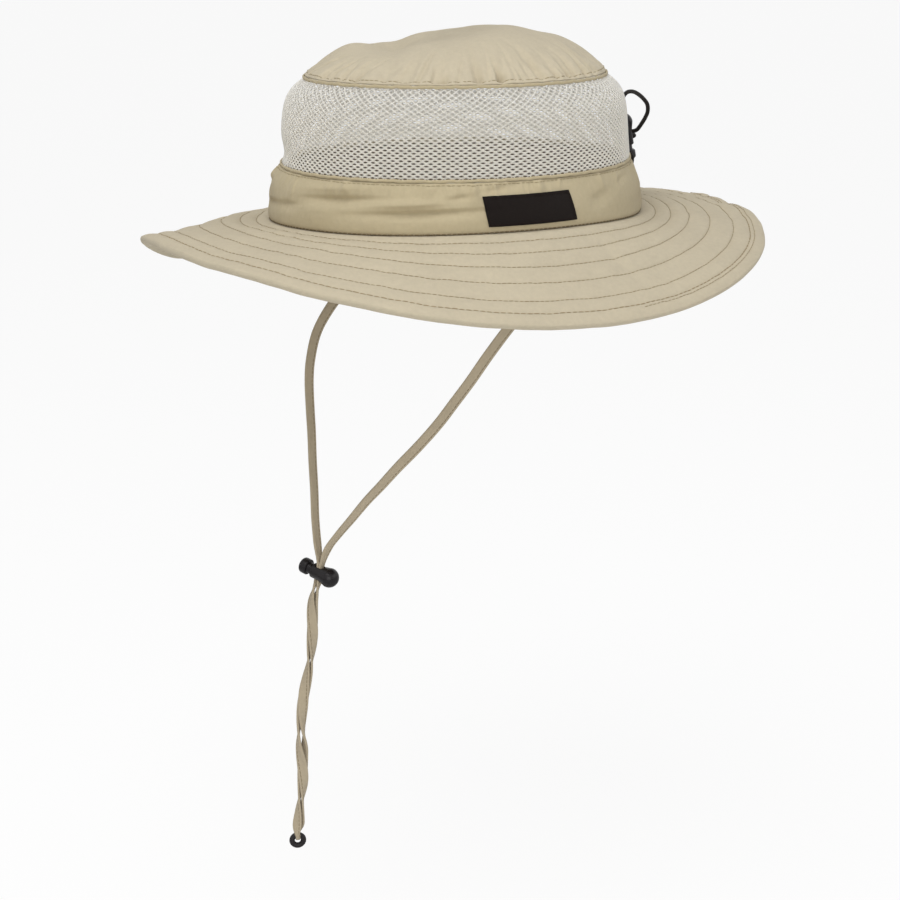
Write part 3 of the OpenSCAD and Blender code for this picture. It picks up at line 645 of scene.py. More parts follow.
    def puff(self, phi, run):
        """Rise of the padded channels between the rows, and the pull of the rows and their puckers."""
        sizes = self.sizes
        edges = [0, *self.rows[:-1], sizes.width]
        rise = np.zeros(np.broadcast(phi, run).shape)
        for low, high in zip(edges, edges[1:]):
            t = np.clip((run - low) / (high - low), 0, 1)
            full = sizes.puff * min(1.0, (high - low) / sizes.row_pitch) ** self.PUFF_GAIN
            rise = rise + full * np.power(np.sin(math.pi * t), self.PUFF_ROUND)
        pull = field(self.point(phi, run), self.PULL_SIZE, self.PULL_SEED)
        for row in self.rows:
            near = np.exp(-(((run - row) / self.GROOVE_HALF) ** 2))
            around = np.exp(-(((run - row) / self.PULL_HALF) ** 2))
            sewn = self.doubled(phi) if row == self.rows[-1] else 1.0
            rise = rise - sewn * (sizes.groove * near - self.PULL * pull * around)
        return rise

    def doubled(self, phi):
        """1 where the hem has its second row of stitches."""
        start, end = self.DOUBLE
        fade = self.DOUBLE_FADE
        turned = phi % (2 * math.pi)
        return smoothstep(start - fade, start, turned) * (1 - smoothstep(end, end + fade, turned))

    def wave(self, phi, run):
        """Rise of the whole brim in soft waves and creases, the same above and below."""
        plain = self.point(phi, run)
        rise = relief(plain, self.WAVES)
        for at, middle, reach, width, depth, slant in self.CREASES:
            out = (run - middle * MM) / (reach * MM)
            girth = self.crown.half_y * self.GIRTH
            along = turn_gap(phi, math.radians(at)) * girth / (width * MM) - slant * out
            rise = rise - depth * MM * np.exp(-(along**2) - out**2)
        edge = smoothstep(*self.BACK_OUT, run / self.sizes.width) * smoothstep(*self.BACK_TURN, -np.cos(phi))
        rise = rise + edge * relief(plain, self.BACK_WAVES)
        return rise * smoothstep(0, self.WAVES_FULL, run)

    def face(self, phi, run, out=0.0):
        """Point of the brim's finished top face."""
        return self.point(phi, run, -self.puff(phi, run) - self.wave(phi, run) - out)

    def under_depth(self, phi, run):
        """Depth of the finished underside below the plain top face."""
        thickness = self.sizes.thickness + self.sizes.edge_gain * smoothstep(*self.GAIN_RUNS, run)
        puff = self.UNDER_PUFF * self.puff(phi, run) * smoothstep(0, self.WAVES_FULL, run)
        return thickness + puff - self.wave(phi, run)

    def under_face(self, phi, run, out=0.0):
        """Point of the brim's finished underside."""
        return self.point(phi, run, self.under_depth(phi, run) + out)


# Routes of the strap and the drawcord, in millimetres

LEFT_POINTS = [
    (85, 12, -10), (81, 11, -22), (74, 8, -36), (67, 4, -48), (61, -1, -58), (54, -8, -72),
    (48, -15, -86), (42, -22, -99), (37, -29, -111), (31, -38, -124), (26, -48, -136),
    (21, -56, -147), (17, -63, -156), (12, -70, -167), (8, -76, -176), (4, -81, -185),
]
RIGHT_POINTS = [
    (-85, 11, -10), (-82, 4, -20), (-77, -10, -32), (-70, -28, -45), (-64, -43, -56),
    (-58, -55, -66), (-53, -64, -77), (-47, -70, -90), (-42, -73, -101), (-36, -75, -114),
    (-29, -77, -128), (-23, -79, -142), (-16, -81, -157), (-10, -83, -171), (-5, -84, -183),
]
TAIL_POINTS = [
    (-1, -89, -218), (0, -90, -236), (0, -92, -254), (0, -96, -272), (0, -98, -290),
    (0, -98, -308), (0, -98, -326), (0, -100, -342),
]
RING_TOP = Vector((0, -102, -359)) * MM
LEFT_LEAD = [(5.4, 0.6, 20), (3.6, -1.2, 24), (0.8, -3.2, 27.4), (-2.4, -4.7, 30.2)]
RIGHT_LEAD = [(-8.2, -0.4, 17.6), (-8.4, -1.4, 20.6), (-7.2, -2.8, 23.8), (-5.2, -4, 26.8)]
LOOP_POINTS = [
    (-2.5, 8, 34.6), (1.5, 8.2, 38), (6, 7.9, 42), (9.4, 7.4, 46), (9.6, 6.8, 50), (6, 6, 53),
    (0.5, 5.6, 55), (-5, 5.4, 55.6), (-11, 5.4, 54.4), (-15.8, 5.8, 50.8), (-18, 6.6, 46),
    (-17.4, 7.2, 41.4), (-15, 7.8, 37.4), (-11.6, 8.4, 33.8), (-7.8, 8.8, 31.2),
]
# Places of the two locks, the rear one from the middle of the band's back
CHIN_LOCK = (0, -85, -200)
REAR_LOCK = (-4, 1, 31)
# Turn of the chin lock about the vertical
CHIN_TURN = math.radians(30)
# Gap between the two strands in a lock
STRAND_GAP = 0.45 * MM
# How far above and below its lock the strap, and beside its lock the drawcord, keep to the lock's passage
STRAP_DROP = 6 * MM
LOCK_LEAD = 5.4 * MM


def metres(points):
    """A listed route as an array in metres."""
    return np.array(points, float) * MM


def curve_through(points, steps):
    """Points of a smooth curve through a route, with so many steps between two points."""
    points = np.asarray(points, float)
    padded = np.concatenate([points[:1], points, points[-1:]])
    found = []
    for k in range(len(points) - 1):
        p0, p1, p2, p3 = padded[k : k + 4]
        for u in np.arange(steps) / steps:
            bend = (2 * p0 - 5 * p1 + 4 * p2 - p3) * u**2 + (3 * p1 - p0 - 3 * p2 + p3) * u**3
            found.append((2 * p1 + (p2 - p0) * u + bend) / 2)
    return np.array(found + [points[-1]])


def route_length(route):
    """Length of a route in metres."""
    return float(np.linalg.norm(np.diff(route, axis=0), axis=1).sum())


def directions(route):
    """Unit direction of a route at each of its points."""
    step = np.gradient(np.asarray(route, float), axis=0)
    return step / np.linalg.norm(step, axis=1, keepdims=True)


class CordLock:
    """Place and axes of a cord lock, and of the strands that pass through it."""

    def __init__(self, at, axis, passage, half_gap):
        self.at = np.array(at, float)
        self.axis = np.array(axis, float)
        self.passage = np.array(passage, float)
        self.half_gap = half_gap

    def strand(self, side, along):
        """Point of one strand in the lock, so far along the passage."""
        return self.at + side * self.half_gap * self.axis + along * self.passage


def joint_axis(name):
    """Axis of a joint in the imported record."""
    return next(j["axis"] for j in frame["joints"] if j["name"] == name)


def chin_lock(sizes):
    """The lock on the chin strap."""
    axis = np.array(joint_axis("chin_lock_press"))
    passage = np.cross(axis, level_side(CHIN_TURN))
    return CordLock(metres(CHIN_LOCK), axis, passage, (sizes.thickness + STRAND_GAP) / 2)


def rear_lock(sizes, crown):
    """The lock on the drawcord."""
    axis = joint_axis("rear_lock_press")
    passage = joint_axis("rear_lock_slide")
    place = metres(REAR_LOCK) + (0, crown.half_y, 0)
    return CordLock(place, axis, passage, (sizes.cord + STRAND_GAP) / 2)


# Node trees


class Nodes:
    """Builds a tree node by node."""

    def __init__(self, tree):
        self.tree = tree

    def add(self, kind, inputs=None, **settings):
        """A node with its settings and its inputs, each a socket to link or a plain value."""
        made = self.tree.nodes.new(kind)
        for key, value in settings.items():
            setattr(made, key, value)
        for key, value in (inputs or {}).items():
            if isinstance(value, bpy.types.NodeSocket):
                self.link(value, made.inputs[key])
            else:
                made.inputs[key].default_value = value
        return made

    def link(self, source, target):
        """Joins an output to an input."""
        self.tree.links.new(source, target)

    def math(self, operation, first, second=0.0):
        """The result of a Math node."""
        return self.add("ShaderNodeMath", {0: first, 1: second}, operation=operation).outputs[0]


class Tree(Nodes):
    """A geometry node tree with named inputs."""

    def __init__(self, name):
        super().__init__(bpy.data.node_groups.new(name, "GeometryNodeTree"))
        for way in ("INPUT", "OUTPUT"):
            self.tree.interface.new_socket("Geometry", in_out=way, socket_type="NodeSocketGeometry")
        self.start = self.tree.nodes.new("NodeGroupInput")
        self.end = self.tree.nodes.new("NodeGroupOutput")

    def ask(self, name, kind="NodeSocketFloat"):
        """A named input of the tree, as a socket to link from."""
        self.tree.interface.new_socket(name, in_out="INPUT", socket_type=kind)
        return self.start.outputs[name]

    def finish(self, geometry, material):
        """Ends the tree: instances become real, faces smooth, and the finish is set."""
        real = self.add("GeometryNodeRealizeInstances", {"Geometry": geometry})
        smooth = self.add("GeometryNodeSetShadeSmooth", {"Geometry": real.outputs[0]})
        painted = self.add("GeometryNodeSetMaterial", {"Geometry": smooth.outputs[0], "Material": material})
        self.link(painted.outputs[0], self.end.inputs[0])
        return self.tree


def grow(name, mesh, tree, inputs):
    """Runs a node tree on a mesh and keeps the result as a plain mesh with the tree's one finish."""
    piece = add_object(name, mesh)
    modifier = piece.modifiers.new("nodes", "NODES")
    modifier.node_group = tree
    for item in tree.interface.items_tree:
        if item.in_out == "INPUT" and item.name in inputs:
            modifier[item.identifier] = inputs[item.name]
    settle(piece)
    wear(piece.data, inputs["Finish"])
    return piece


# Least and greatest size of a stitch, as a share of its own
STITCH_SPREAD = (0.86, 1.08)


def stitch_tree():
    """A row of stitches along each polyline of the mesh."""
    found = bpy.data.node_groups.get("stitch_rows")
    if found:
        return found
    tree = Tree("stitch_rows")
    pitch = tree.ask("Pitch")
    reach = tree.ask("Reach")
    thread = tree.ask("Thread")
    seed = tree.ask("Seed", "NodeSocketInt")
    material = tree.ask("Finish", "NodeSocketMaterial")
    line = tree.add("GeometryNodeMeshToCurve", {"Mesh": tree.start.outputs["Geometry"]})
    spaced = tree.add(
        "GeometryNodeResampleCurve", {"Curve": line.outputs[0], "Length": pitch}, mode="LENGTH"
    )
    ball = tree.add("GeometryNodeMeshUVSphere", {"Segments": 6, "Rings": 5, "Radius": 0.5})
    stretch = tree.add("ShaderNodeCombineXYZ", {0: thread, 1: thread, 2: reach})
    stitch = tree.add("GeometryNodeTransform", {"Geometry": ball.outputs[0], "Scale": stretch.outputs[0]})
    tangent = tree.add("GeometryNodeInputTangent")
    turned = tree.add("FunctionNodeAlignRotationToVector", {"Vector": tangent.outputs[0]}, axis="Z")
    least, most = STITCH_SPREAD
    varied = tree.add("FunctionNodeRandomValue", {2: least, 3: most, "Seed": seed}, data_type="FLOAT")
    placed = tree.add(
        "GeometryNodeInstanceOnPoints",
        {
            "Points": spaced.outputs[0],
            "Instance": stitch.outputs[0],
            "Rotation": turned.outputs[0],
            "Scale": varied.outputs[1],
        },
    )
    return tree.finish(placed.outputs[0], material)


def spring_tree():
    """A coil of wire that climbs along Z from the origin."""
    found = bpy.data.node_groups.get("wire_spring")
    if found:
        return found
    tree = Tree("wire_spring")
    coils = tree.ask("Turns")
    radius = tree.ask("Radius")
    height = tree.ask("Height")
    wire = tree.ask("Wire")
    material = tree.ask("Finish", "NodeSocketMaterial")
    coil = tree.add(
        "GeometryNodeCurveSpiral",
        {
            "Resolution": 32,
            "Rotations": coils,
            "Start Radius": radius,
            "End Radius": radius,
            "Height": height,
        },
    )
    section = tree.add("GeometryNodeCurvePrimitiveCircle", {"Resolution": 10, "Radius": wire})
    tube = tree.add(
        "GeometryNodeCurveToMesh",
        {"Curve": coil.outputs[0], "Profile Curve": section.outputs[0], "Fill Caps": True},
    )
    return tree.finish(tube.outputs[0], material)


# Distance at which the corners of two cells of the knit are one
CELL_WELD = 0.05 * MM


def net_tree():
    """Repeats one cell of the knit in staggered rows and wraps it round the crown."""
    tree = Tree("mesh_net")
    columns = tree.ask("Columns", "NodeSocketInt")
    rows = tree.ask("Rows", "NodeSocketInt")
    half_x = tree.ask("Half X")
    half_y = tree.ask("Half Y")
    foot = tree.ask("Foot")
    height = tree.ask("Height")
    band_lean = tree.ask("Band lean")
    mesh_lean = tree.ask("Mesh lean")
    shoulder = tree.ask("Shoulder")
    power = tree.ask("Shoulder curve")
    material = tree.ask("Finish", "NodeSocketMaterial")
    count = tree.math("MULTIPLY", columns, rows)
    line = tree.add("GeometryNodeMeshLine", {"Count": count})
    index = tree.add("GeometryNodeInputIndex").outputs[0]
    row = tree.math("FLOOR", tree.math("DIVIDE", tree.math("ADD", index, 0.5), columns))
    column = tree.math("SUBTRACT", index, tree.math("MULTIPLY", row, columns))
    stagger = tree.math("MULTIPLY", tree.math("MODULO", row, 2.0), 0.5)
    place = tree.add("ShaderNodeCombineXYZ", {0: tree.math("ADD", column, stagger), 1: row})
    lattice = tree.add(
        "GeometryNodeSetPosition", {"Geometry": line.outputs[0], "Position": place.outputs[0]}
    )
    cells = tree.add(
        "GeometryNodeInstanceOnPoints",
        {"Points": lattice.outputs[0], "Instance": tree.start.outputs["Geometry"]},
    )
    flat = tree.add("GeometryNodeRealizeInstances", {"Geometry": cells.outputs[0]})
    here = tree.add("GeometryNodeInputPosition").outputs[0]
    x, y, lift = tree.add("ShaderNodeSeparateXYZ", {0: here}).outputs
    phi = tree.math("DIVIDE", tree.math("MULTIPLY", x, 2 * math.pi), columns)
    up = tree.math("DIVIDE", y, tree.math("SUBTRACT", rows, 1.0))
    turn_in = tree.math("MULTIPLY", shoulder, tree.math("POWER", tree.math("MAXIMUM", up, 0.0), power))
    lean = tree.math("ADD", band_lean, tree.math("MULTIPLY", mesh_lean, up))
    inset = tree.math("SUBTRACT", tree.math("ADD", lean, turn_in), lift)
    across = tree.math("MULTIPLY", tree.math("SUBTRACT", half_x, inset), tree.math("SINE", phi))
    back = tree.math("MULTIPLY", tree.math("SUBTRACT", inset, half_y), tree.math("COSINE", phi))
    level = tree.math("ADD", foot, tree.math("MULTIPLY", height, up))
    wrapped = tree.add("ShaderNodeCombineXYZ", {0: across, 1: back, 2: level})
    crown = tree.add(
        "GeometryNodeSetPosition", {"Geometry": flat.outputs[0], "Position": wrapped.outputs[0]}
    )
    joined = tree.add("GeometryNodeMergeByDistance", {"Geometry": crown.outputs[0], "Distance": CELL_WELD})
    return tree.finish(joined.outputs[0], material)


# Finishes


class Finish(Nodes):
    """A procedural material on the Principled shader."""

    def __init__(self, name, rgb, roughness, **constants):
        self.material = bpy.data.materials.new(name)
        self.material.use_nodes = True
        super().__init__(self.material.node_tree)
        self.shader = self.tree.nodes["Principled BSDF"]
        self.shader.inputs["Base Color"].default_value = (*rgb, 1)
        self.shader.inputs["Roughness"].default_value = roughness
        for key, value in constants.items():
            self.shader.inputs[key.replace("_", " ")].default_value = value
        self.material.diffuse_color = (*rgb, 1)

    def noise(self, scale, detail=2.0, kind="FBM"):
        """Noise from 0 to 1 on the object's own coordinates, with so many features in a metre."""
        place = self.add("ShaderNodeTexCoord").outputs["Object"]
        made = self.add(
            "ShaderNodeTexNoise", {"Vector": place, "Scale": scale, "Detail": detail}, noise_type=kind
        )
        return made.outputs[0]

    def weave(self, pitch):
        """Warp and weft as a wave of heights on the cloth's UV map."""
        place = self.add("ShaderNodeUVMap", uv_map="cloth").outputs[0]
        u, v, _ = self.add("ShaderNodeSeparateXYZ", {0: place}).outputs
        waves = [self.math("SINE", self.math("MULTIPLY", side, 2 * math.pi / pitch)) for side in (u, v)]
        return self.math("MULTIPLY", *waves)

    def tint(self, rgb, *layers):
        """Colour that each (noise, amount) layer makes a little lighter or darker."""
        value = 1.0
        for wave, amount in layers:
            swing = self.math("MULTIPLY", self.math("SUBTRACT", wave, 0.5), amount)
            value = self.math("ADD", swing, value)
        mixed = self.add("ShaderNodeMix", {"Factor": 1.0}, data_type="RGBA", blend_type="MULTIPLY")
        mixed.inputs[6].default_value = (*rgb, 1)
        self.link(value, mixed.inputs[7])
        self.link(mixed.outputs[2], self.shader.inputs["Base Color"])

    def bump(self, *layers):
        """Relief from (height, distance) layers, each on top of the one before."""
        normal = None
        for height, distance in layers:
            raised = self.add("ShaderNodeBump", {"Height": height, "Distance": distance, "Strength": 1.0})
            if normal is not None:
                self.link(normal, raised.inputs["Normal"])
            normal = raised.outputs[0]
        self.link(normal, self.shader.inputs["Normal"])


# Height of the weave of a cloth, and of the grain of a moulded or spun surface
WEAVE_HEIGHT = 0.04 * MM
GRAIN_HEIGHT = 0.04 * MM
# Features of a thread's grain in a metre
THREAD_GRAIN = 2500


def cloth_finish(name, rgb, crinkle=0.5, weave=0.45):
    """Woven cloth with a crinkle and a pitch in millimetres, and a faint change of colour."""
    found = bpy.data.materials.get(name)
    if found:
        return found
    finish = Finish(name, rgb, 0.92, Sheen_Weight=0.12, Sheen_Roughness=0.6, Specular_IOR_Level=0.15)
    broad = finish.noise(38)
    fine = finish.noise(420, 3)
    thread = finish.weave(weave * MM)
    finish.tint(rgb, (broad, 0.10), (fine, 0.16))
    creases = finish.noise(55, 3, "RIDGED_MULTIFRACTAL")
    crinkles = finish.noise(190, 3)
    finish.bump((creases, 2 * crinkle * MM), (crinkles, crinkle * MM), (thread, WEAVE_HEIGHT))
    return finish.material


def plain_finish(name, rgb, roughness, grain=None, **constants):
    """Moulded or drawn material, with a fine grain if it is asked for."""
    found = bpy.data.materials.get(name)
    if found:
        return found
    finish = Finish(name, rgb, roughness, **constants)
    if grain:
        finish.bump((finish.noise(grain), GRAIN_HEIGHT))
    return finish.material


def shell_finish(colours):
    """Khaki cloth of the tip and the brim."""
    return cloth_finish("khaki_shell", colours.khaki)


def thread_finish(colours):
    """Brown thread of the brim and the sweatband."""
    return plain_finish("sewing_thread", colours.thread, 0.8, THREAD_GRAIN)


def thread_and_seam_shadow_finish(colours):
    """Darker thread of the strap and of the seam at the brim, where it also paints the shadow in the seam's
    gap.
    """
    return plain_finish("dark_thread", colours.dark, 0.9, THREAD_GRAIN)


def seam_finish(colours):
    """Paler thread of the crown's seams."""
    return plain_finish("seam_thread", colours.seam, 0.8, THREAD_GRAIN)


def band_finish(colours):
    """Khaki cloth of the band and the rolled seams."""
    return cloth_finish("khaki_band", colours.band)


def net_finish(colours):
    """Fine pale yarn that lets some light through."""
    finish = Finish(
        "open_knit", colours.net, 0.9, Specular_IOR_Level=0.1,
        Subsurface_Weight=0.9, Subsurface_Scale=4 * MM, Subsurface_Radius=(1, 1, 1),
    )
    finish.tint(colours.net, (finish.noise(60), 0.08), (finish.noise(900), 0.14))
    finish.bump((finish.noise(1500), 0.2 * MM))
    return finish.material


def strap_finish(colours):
    """Folded cloth of the strap and its tabs."""
    return cloth_finish("strap_cloth", colours.strap, crinkle=0.2, weave=0.5)


def black_finish(colours):
    """Moulded plastic of the locks and the eyelets."""
    return plain_finish("black_plastic", colours.black, 0.33, grain=900, Specular_IOR_Level=0.28)


# Sewing


def sew(name, rows, sizes, finish, seed, pitch=None, closed=True, bold=1.0):
    """Stitches along rows of points, as one mesh, with a thread that many times bolder."""
    pitch = pitch or sizes.pitch
    vertices = []
    edges = []
    for row in rows:
        first = len(vertices)
        vertices += [tuple(p) for p in row]
        edges += [(first + k, first + k + 1) for k in range(len(row) - 1)]
        if closed:
            edges.append((len(vertices) - 1, first))
    mesh = bpy.data.meshes.new(name)
    mesh.from_pydata(vertices, edges, [])
    inputs = {
        "Pitch": pitch,
        "Reach": sizes.reach * pitch / sizes.pitch,
        "Thread": sizes.thread * bold,
        "Seed": seed,
        "Finish": finish,
    }
    return grow(name, mesh, stitch_tree(), inputs)


# A direction that no cord starts along
ASIDE = (0.3, 0.2, 1.0)


def tube(name, route, radius, finish, sides=14):
    """A round cord along a route, closed at both ends."""
    route = np.asarray(route, float)
    heading = directions(route)
    side = np.cross(heading[0], ASIDE)
    around = turns(sides)[:, None]
    rings = []
    for point, ahead in zip(route, heading):
        side = side - ahead * np.dot(side, ahead)
        side = side / np.linalg.norm(side)
        up = np.cross(ahead, side)
        rings.append(point + radius * (np.cos(around) * side + np.sin(around) * up))
    mesh = grid_mesh(name, rings, close_across=True, caps=True)
    return add_object(name, mesh, finish)


# Upper face of the folded strap, edge to edge: shares of its width and thickness, with the stitched groove
STRAP_FACE = [
    (-0.49, 0.24), (-0.45, 0.42), (-0.38, 0.50), (-0.20, 0.46), (0.02, 0.45), (0.16, 0.46), (0.24, 0.40),
    (0.28, 0.30), (0.32, 0.38), (0.38, 0.42), (0.45, 0.36), (0.49, 0.20),
]
STRAP_BACK = [(s, -t) for s, t in reversed(STRAP_FACE)]
STRAP_SECTION = [(-0.50, 0.00), *STRAP_FACE, (0.50, 0.00), *STRAP_BACK]
# Where the stitches lie in the groove: shares of the width and of the thickness
STRAP_SEAM = 0.28
STRAP_SEAM_FACE = 0.33


def strap_frames(route, across):
    """Unit directions across the strap's width and out of its face, square to its route."""
    heading = directions(route)
    face = np.cross(heading, across)
    face /= np.linalg.norm(face, axis=1, keepdims=True)
    return np.cross(face, heading), face


def strap_mesh(name, route, across, widths, thickness):
    """A folded strap along a route, with its width laid along given directions."""
    wide, face = strap_frames(route, across)
    rings = []
    for k, point in enumerate(route):
        ring = [point + widths[k] * s * wide[k] + thickness * t * face[k] for s, t in STRAP_SECTION]
        rings.append(ring)
    return grid_mesh(name, rings, close_across=True, caps=True, flip=True)


def strap_seams(route, across, widths, thickness):
    """The two rows of stitches along a folded strap, one on each face."""
    wide, face = strap_frames(route, across)
    along = route + (STRAP_SEAM * widths)[:, None] * wide
    return [along + side * STRAP_SEAM_FACE * thickness * face for side in (1, -1)]


# Operators


class HatOperator(bpy.types.Operator):
    """Shared by the hat's operators: the sizes and colours of the scene."""

    bl_options = {"REGISTER"}

    def begin(self, context):
        """Reads the sizes and colours of the scene."""
        scene = context.scene
        self.colours = scene.hat_colours
        self.stitch = scene.hat_stitch
        self.strap = scene.hat_strap
        self.crown = Crown(scene.hat_crown)
        self.brim = Brim(scene.hat_brim, self.crown)


class HAT_OT_stage(HatOperator):
    """Sets up the camera, the soft light, the pale floor and the white background"""

    bl_idname = "hat.stage"
    bl_label = "Stage"

    # Camera: the point it looks at, its angles round and above that point, and its distance, in metres
    AIM = (0, -0.0049, -0.1388)
    AZIMUTH = math.radians(65.26)
    ELEVATION = math.radians(16.97)
    DISTANCE = 1.0296
    # Focal length and width of the sensor, in millimetres
    LENS = 72.9
    SENSOR = 36
    # Floor: gap below the hat, half width, grey, and the share of glow in what the camera sees of it
    FLOOR_GAP = 0.06
    FLOOR_HALF = 12.0
    FLOOR_GREY = 0.9
    FLOOR_GLOW = 0.88
    # Strength of the white that is seen, and of the background's light on the hat
    WHITE = 1.02
    AMBIENT = 0.4
    # Lamps: name, place, size, power
    LAMPS = [
        ("key", (0.4, -0.5, 1.45), 1.1, 15),
        ("front", (1.25, -0.65, 0.15), 0.9, 5.5),
        ("side", (1.0, 1.1, 0.7), 1.2, 4),
    ]
    LAMPS_AIM = (0, 0, 0.02)

    def execute(self, context):
        scene = context.scene
        scene.view_settings.view_transform = "Standard"
        scene.view_settings.look = "None"
        self.make_camera(scene)
        self.make_floor()
        self.make_lights(scene)
        self.make_world(scene)
        return {"FINISHED"}

    def make_camera(self, scene):
        """The camera of the photo's view."""
        lens = bpy.data.cameras.new("camera")
        lens.lens = self.LENS
        lens.sensor_width = self.SENSOR
        camera = bpy.data.objects.new("camera", lens)
        azimuth, elevation = self.AZIMUTH, self.ELEVATION
        level = math.cos(elevation)
        back = Vector((math.sin(azimuth) * level, -math.cos(azimuth) * level, math.sin(elevation)))
        camera.location = Vector(self.AIM) + back * self.DISTANCE
        camera.rotation_mode = "QUATERNION"
        camera.rotation_quaternion = (-back).to_track_quat("-Z", "Y")
        scene.collection.objects.link(camera)
        scene.camera = camera

    def make_floor(self):
        """A wide floor that the camera sees as nearly white."""
        size = self.FLOOR_HALF
        level = CAD_BOX[0].z - self.FLOOR_GAP
        corners = [(-size, -size, level), (size, -size, level), (size, size, level), (-size, size, level)]
        mesh = bpy.data.meshes.new("floor")
        mesh.from_pydata(corners, [], [(0, 1, 2, 3)])
        material = bpy.data.materials.new("floor")
        material.use_nodes = True
        nodes = Nodes(material.node_tree)
        nodes.tree.nodes.clear()
        rays = nodes.add("ShaderNodeLightPath").outputs
        grey = self.FLOOR_GREY
        shaded = nodes.add("ShaderNodeBsdfDiffuse", {"Color": (grey, grey, grey, 1)})
        glow = nodes.add("ShaderNodeEmission", {"Strength": self.WHITE})
        seen = nodes.math("MULTIPLY", rays["Is Camera Ray"], self.FLOOR_GLOW)
        mixed = nodes.add("ShaderNodeMixShader", {0: seen, 1: shaded.outputs[0], 2: glow.outputs[0]})
        nodes.add("ShaderNodeOutputMaterial", {"Surface": mixed.outputs[0]})
        add_object("floor", mesh, material)

    def make_lights(self, scene):
        """The soft lamps round the hat."""
        for name, place, size, power in self.LAMPS:
            lamp = bpy.data.lights.new(name, "AREA")
            lamp.size = size
            lamp.energy = power
            light = bpy.data.objects.new(name, lamp)
            light.location = place
            light.rotation_mode = "QUATERNION"
            light.rotation_quaternion = (Vector(self.LAMPS_AIM) - Vector(place)).to_track_quat("-Z", "Y")
            scene.collection.objects.link(light)

    def make_world(self, scene):
        """A background that is seen as white and lights the hat softly."""
        world = bpy.data.worlds.new("white")
        world.use_nodes = True
        nodes = Nodes(world.node_tree)
        sky = nodes.tree.nodes["Background"]
        sky.inputs["Color"].default_value = (1, 1, 1, 1)
        rays = nodes.add("ShaderNodeLightPath").outputs
        seen = nodes.math("MAXIMUM", rays["Is Camera Ray"], rays["Is Glossy Ray"])
        seen = nodes.math("MAXIMUM", seen, rays["Is Transmission Ray"])
        level = nodes.add(
            "ShaderNodeMapRange", {"Value": seen, "To Min": self.AMBIENT, "To Max": self.WHITE}
        )
        nodes.link(level.outputs[0], sky.inputs["Strength"])
        scene.world = world


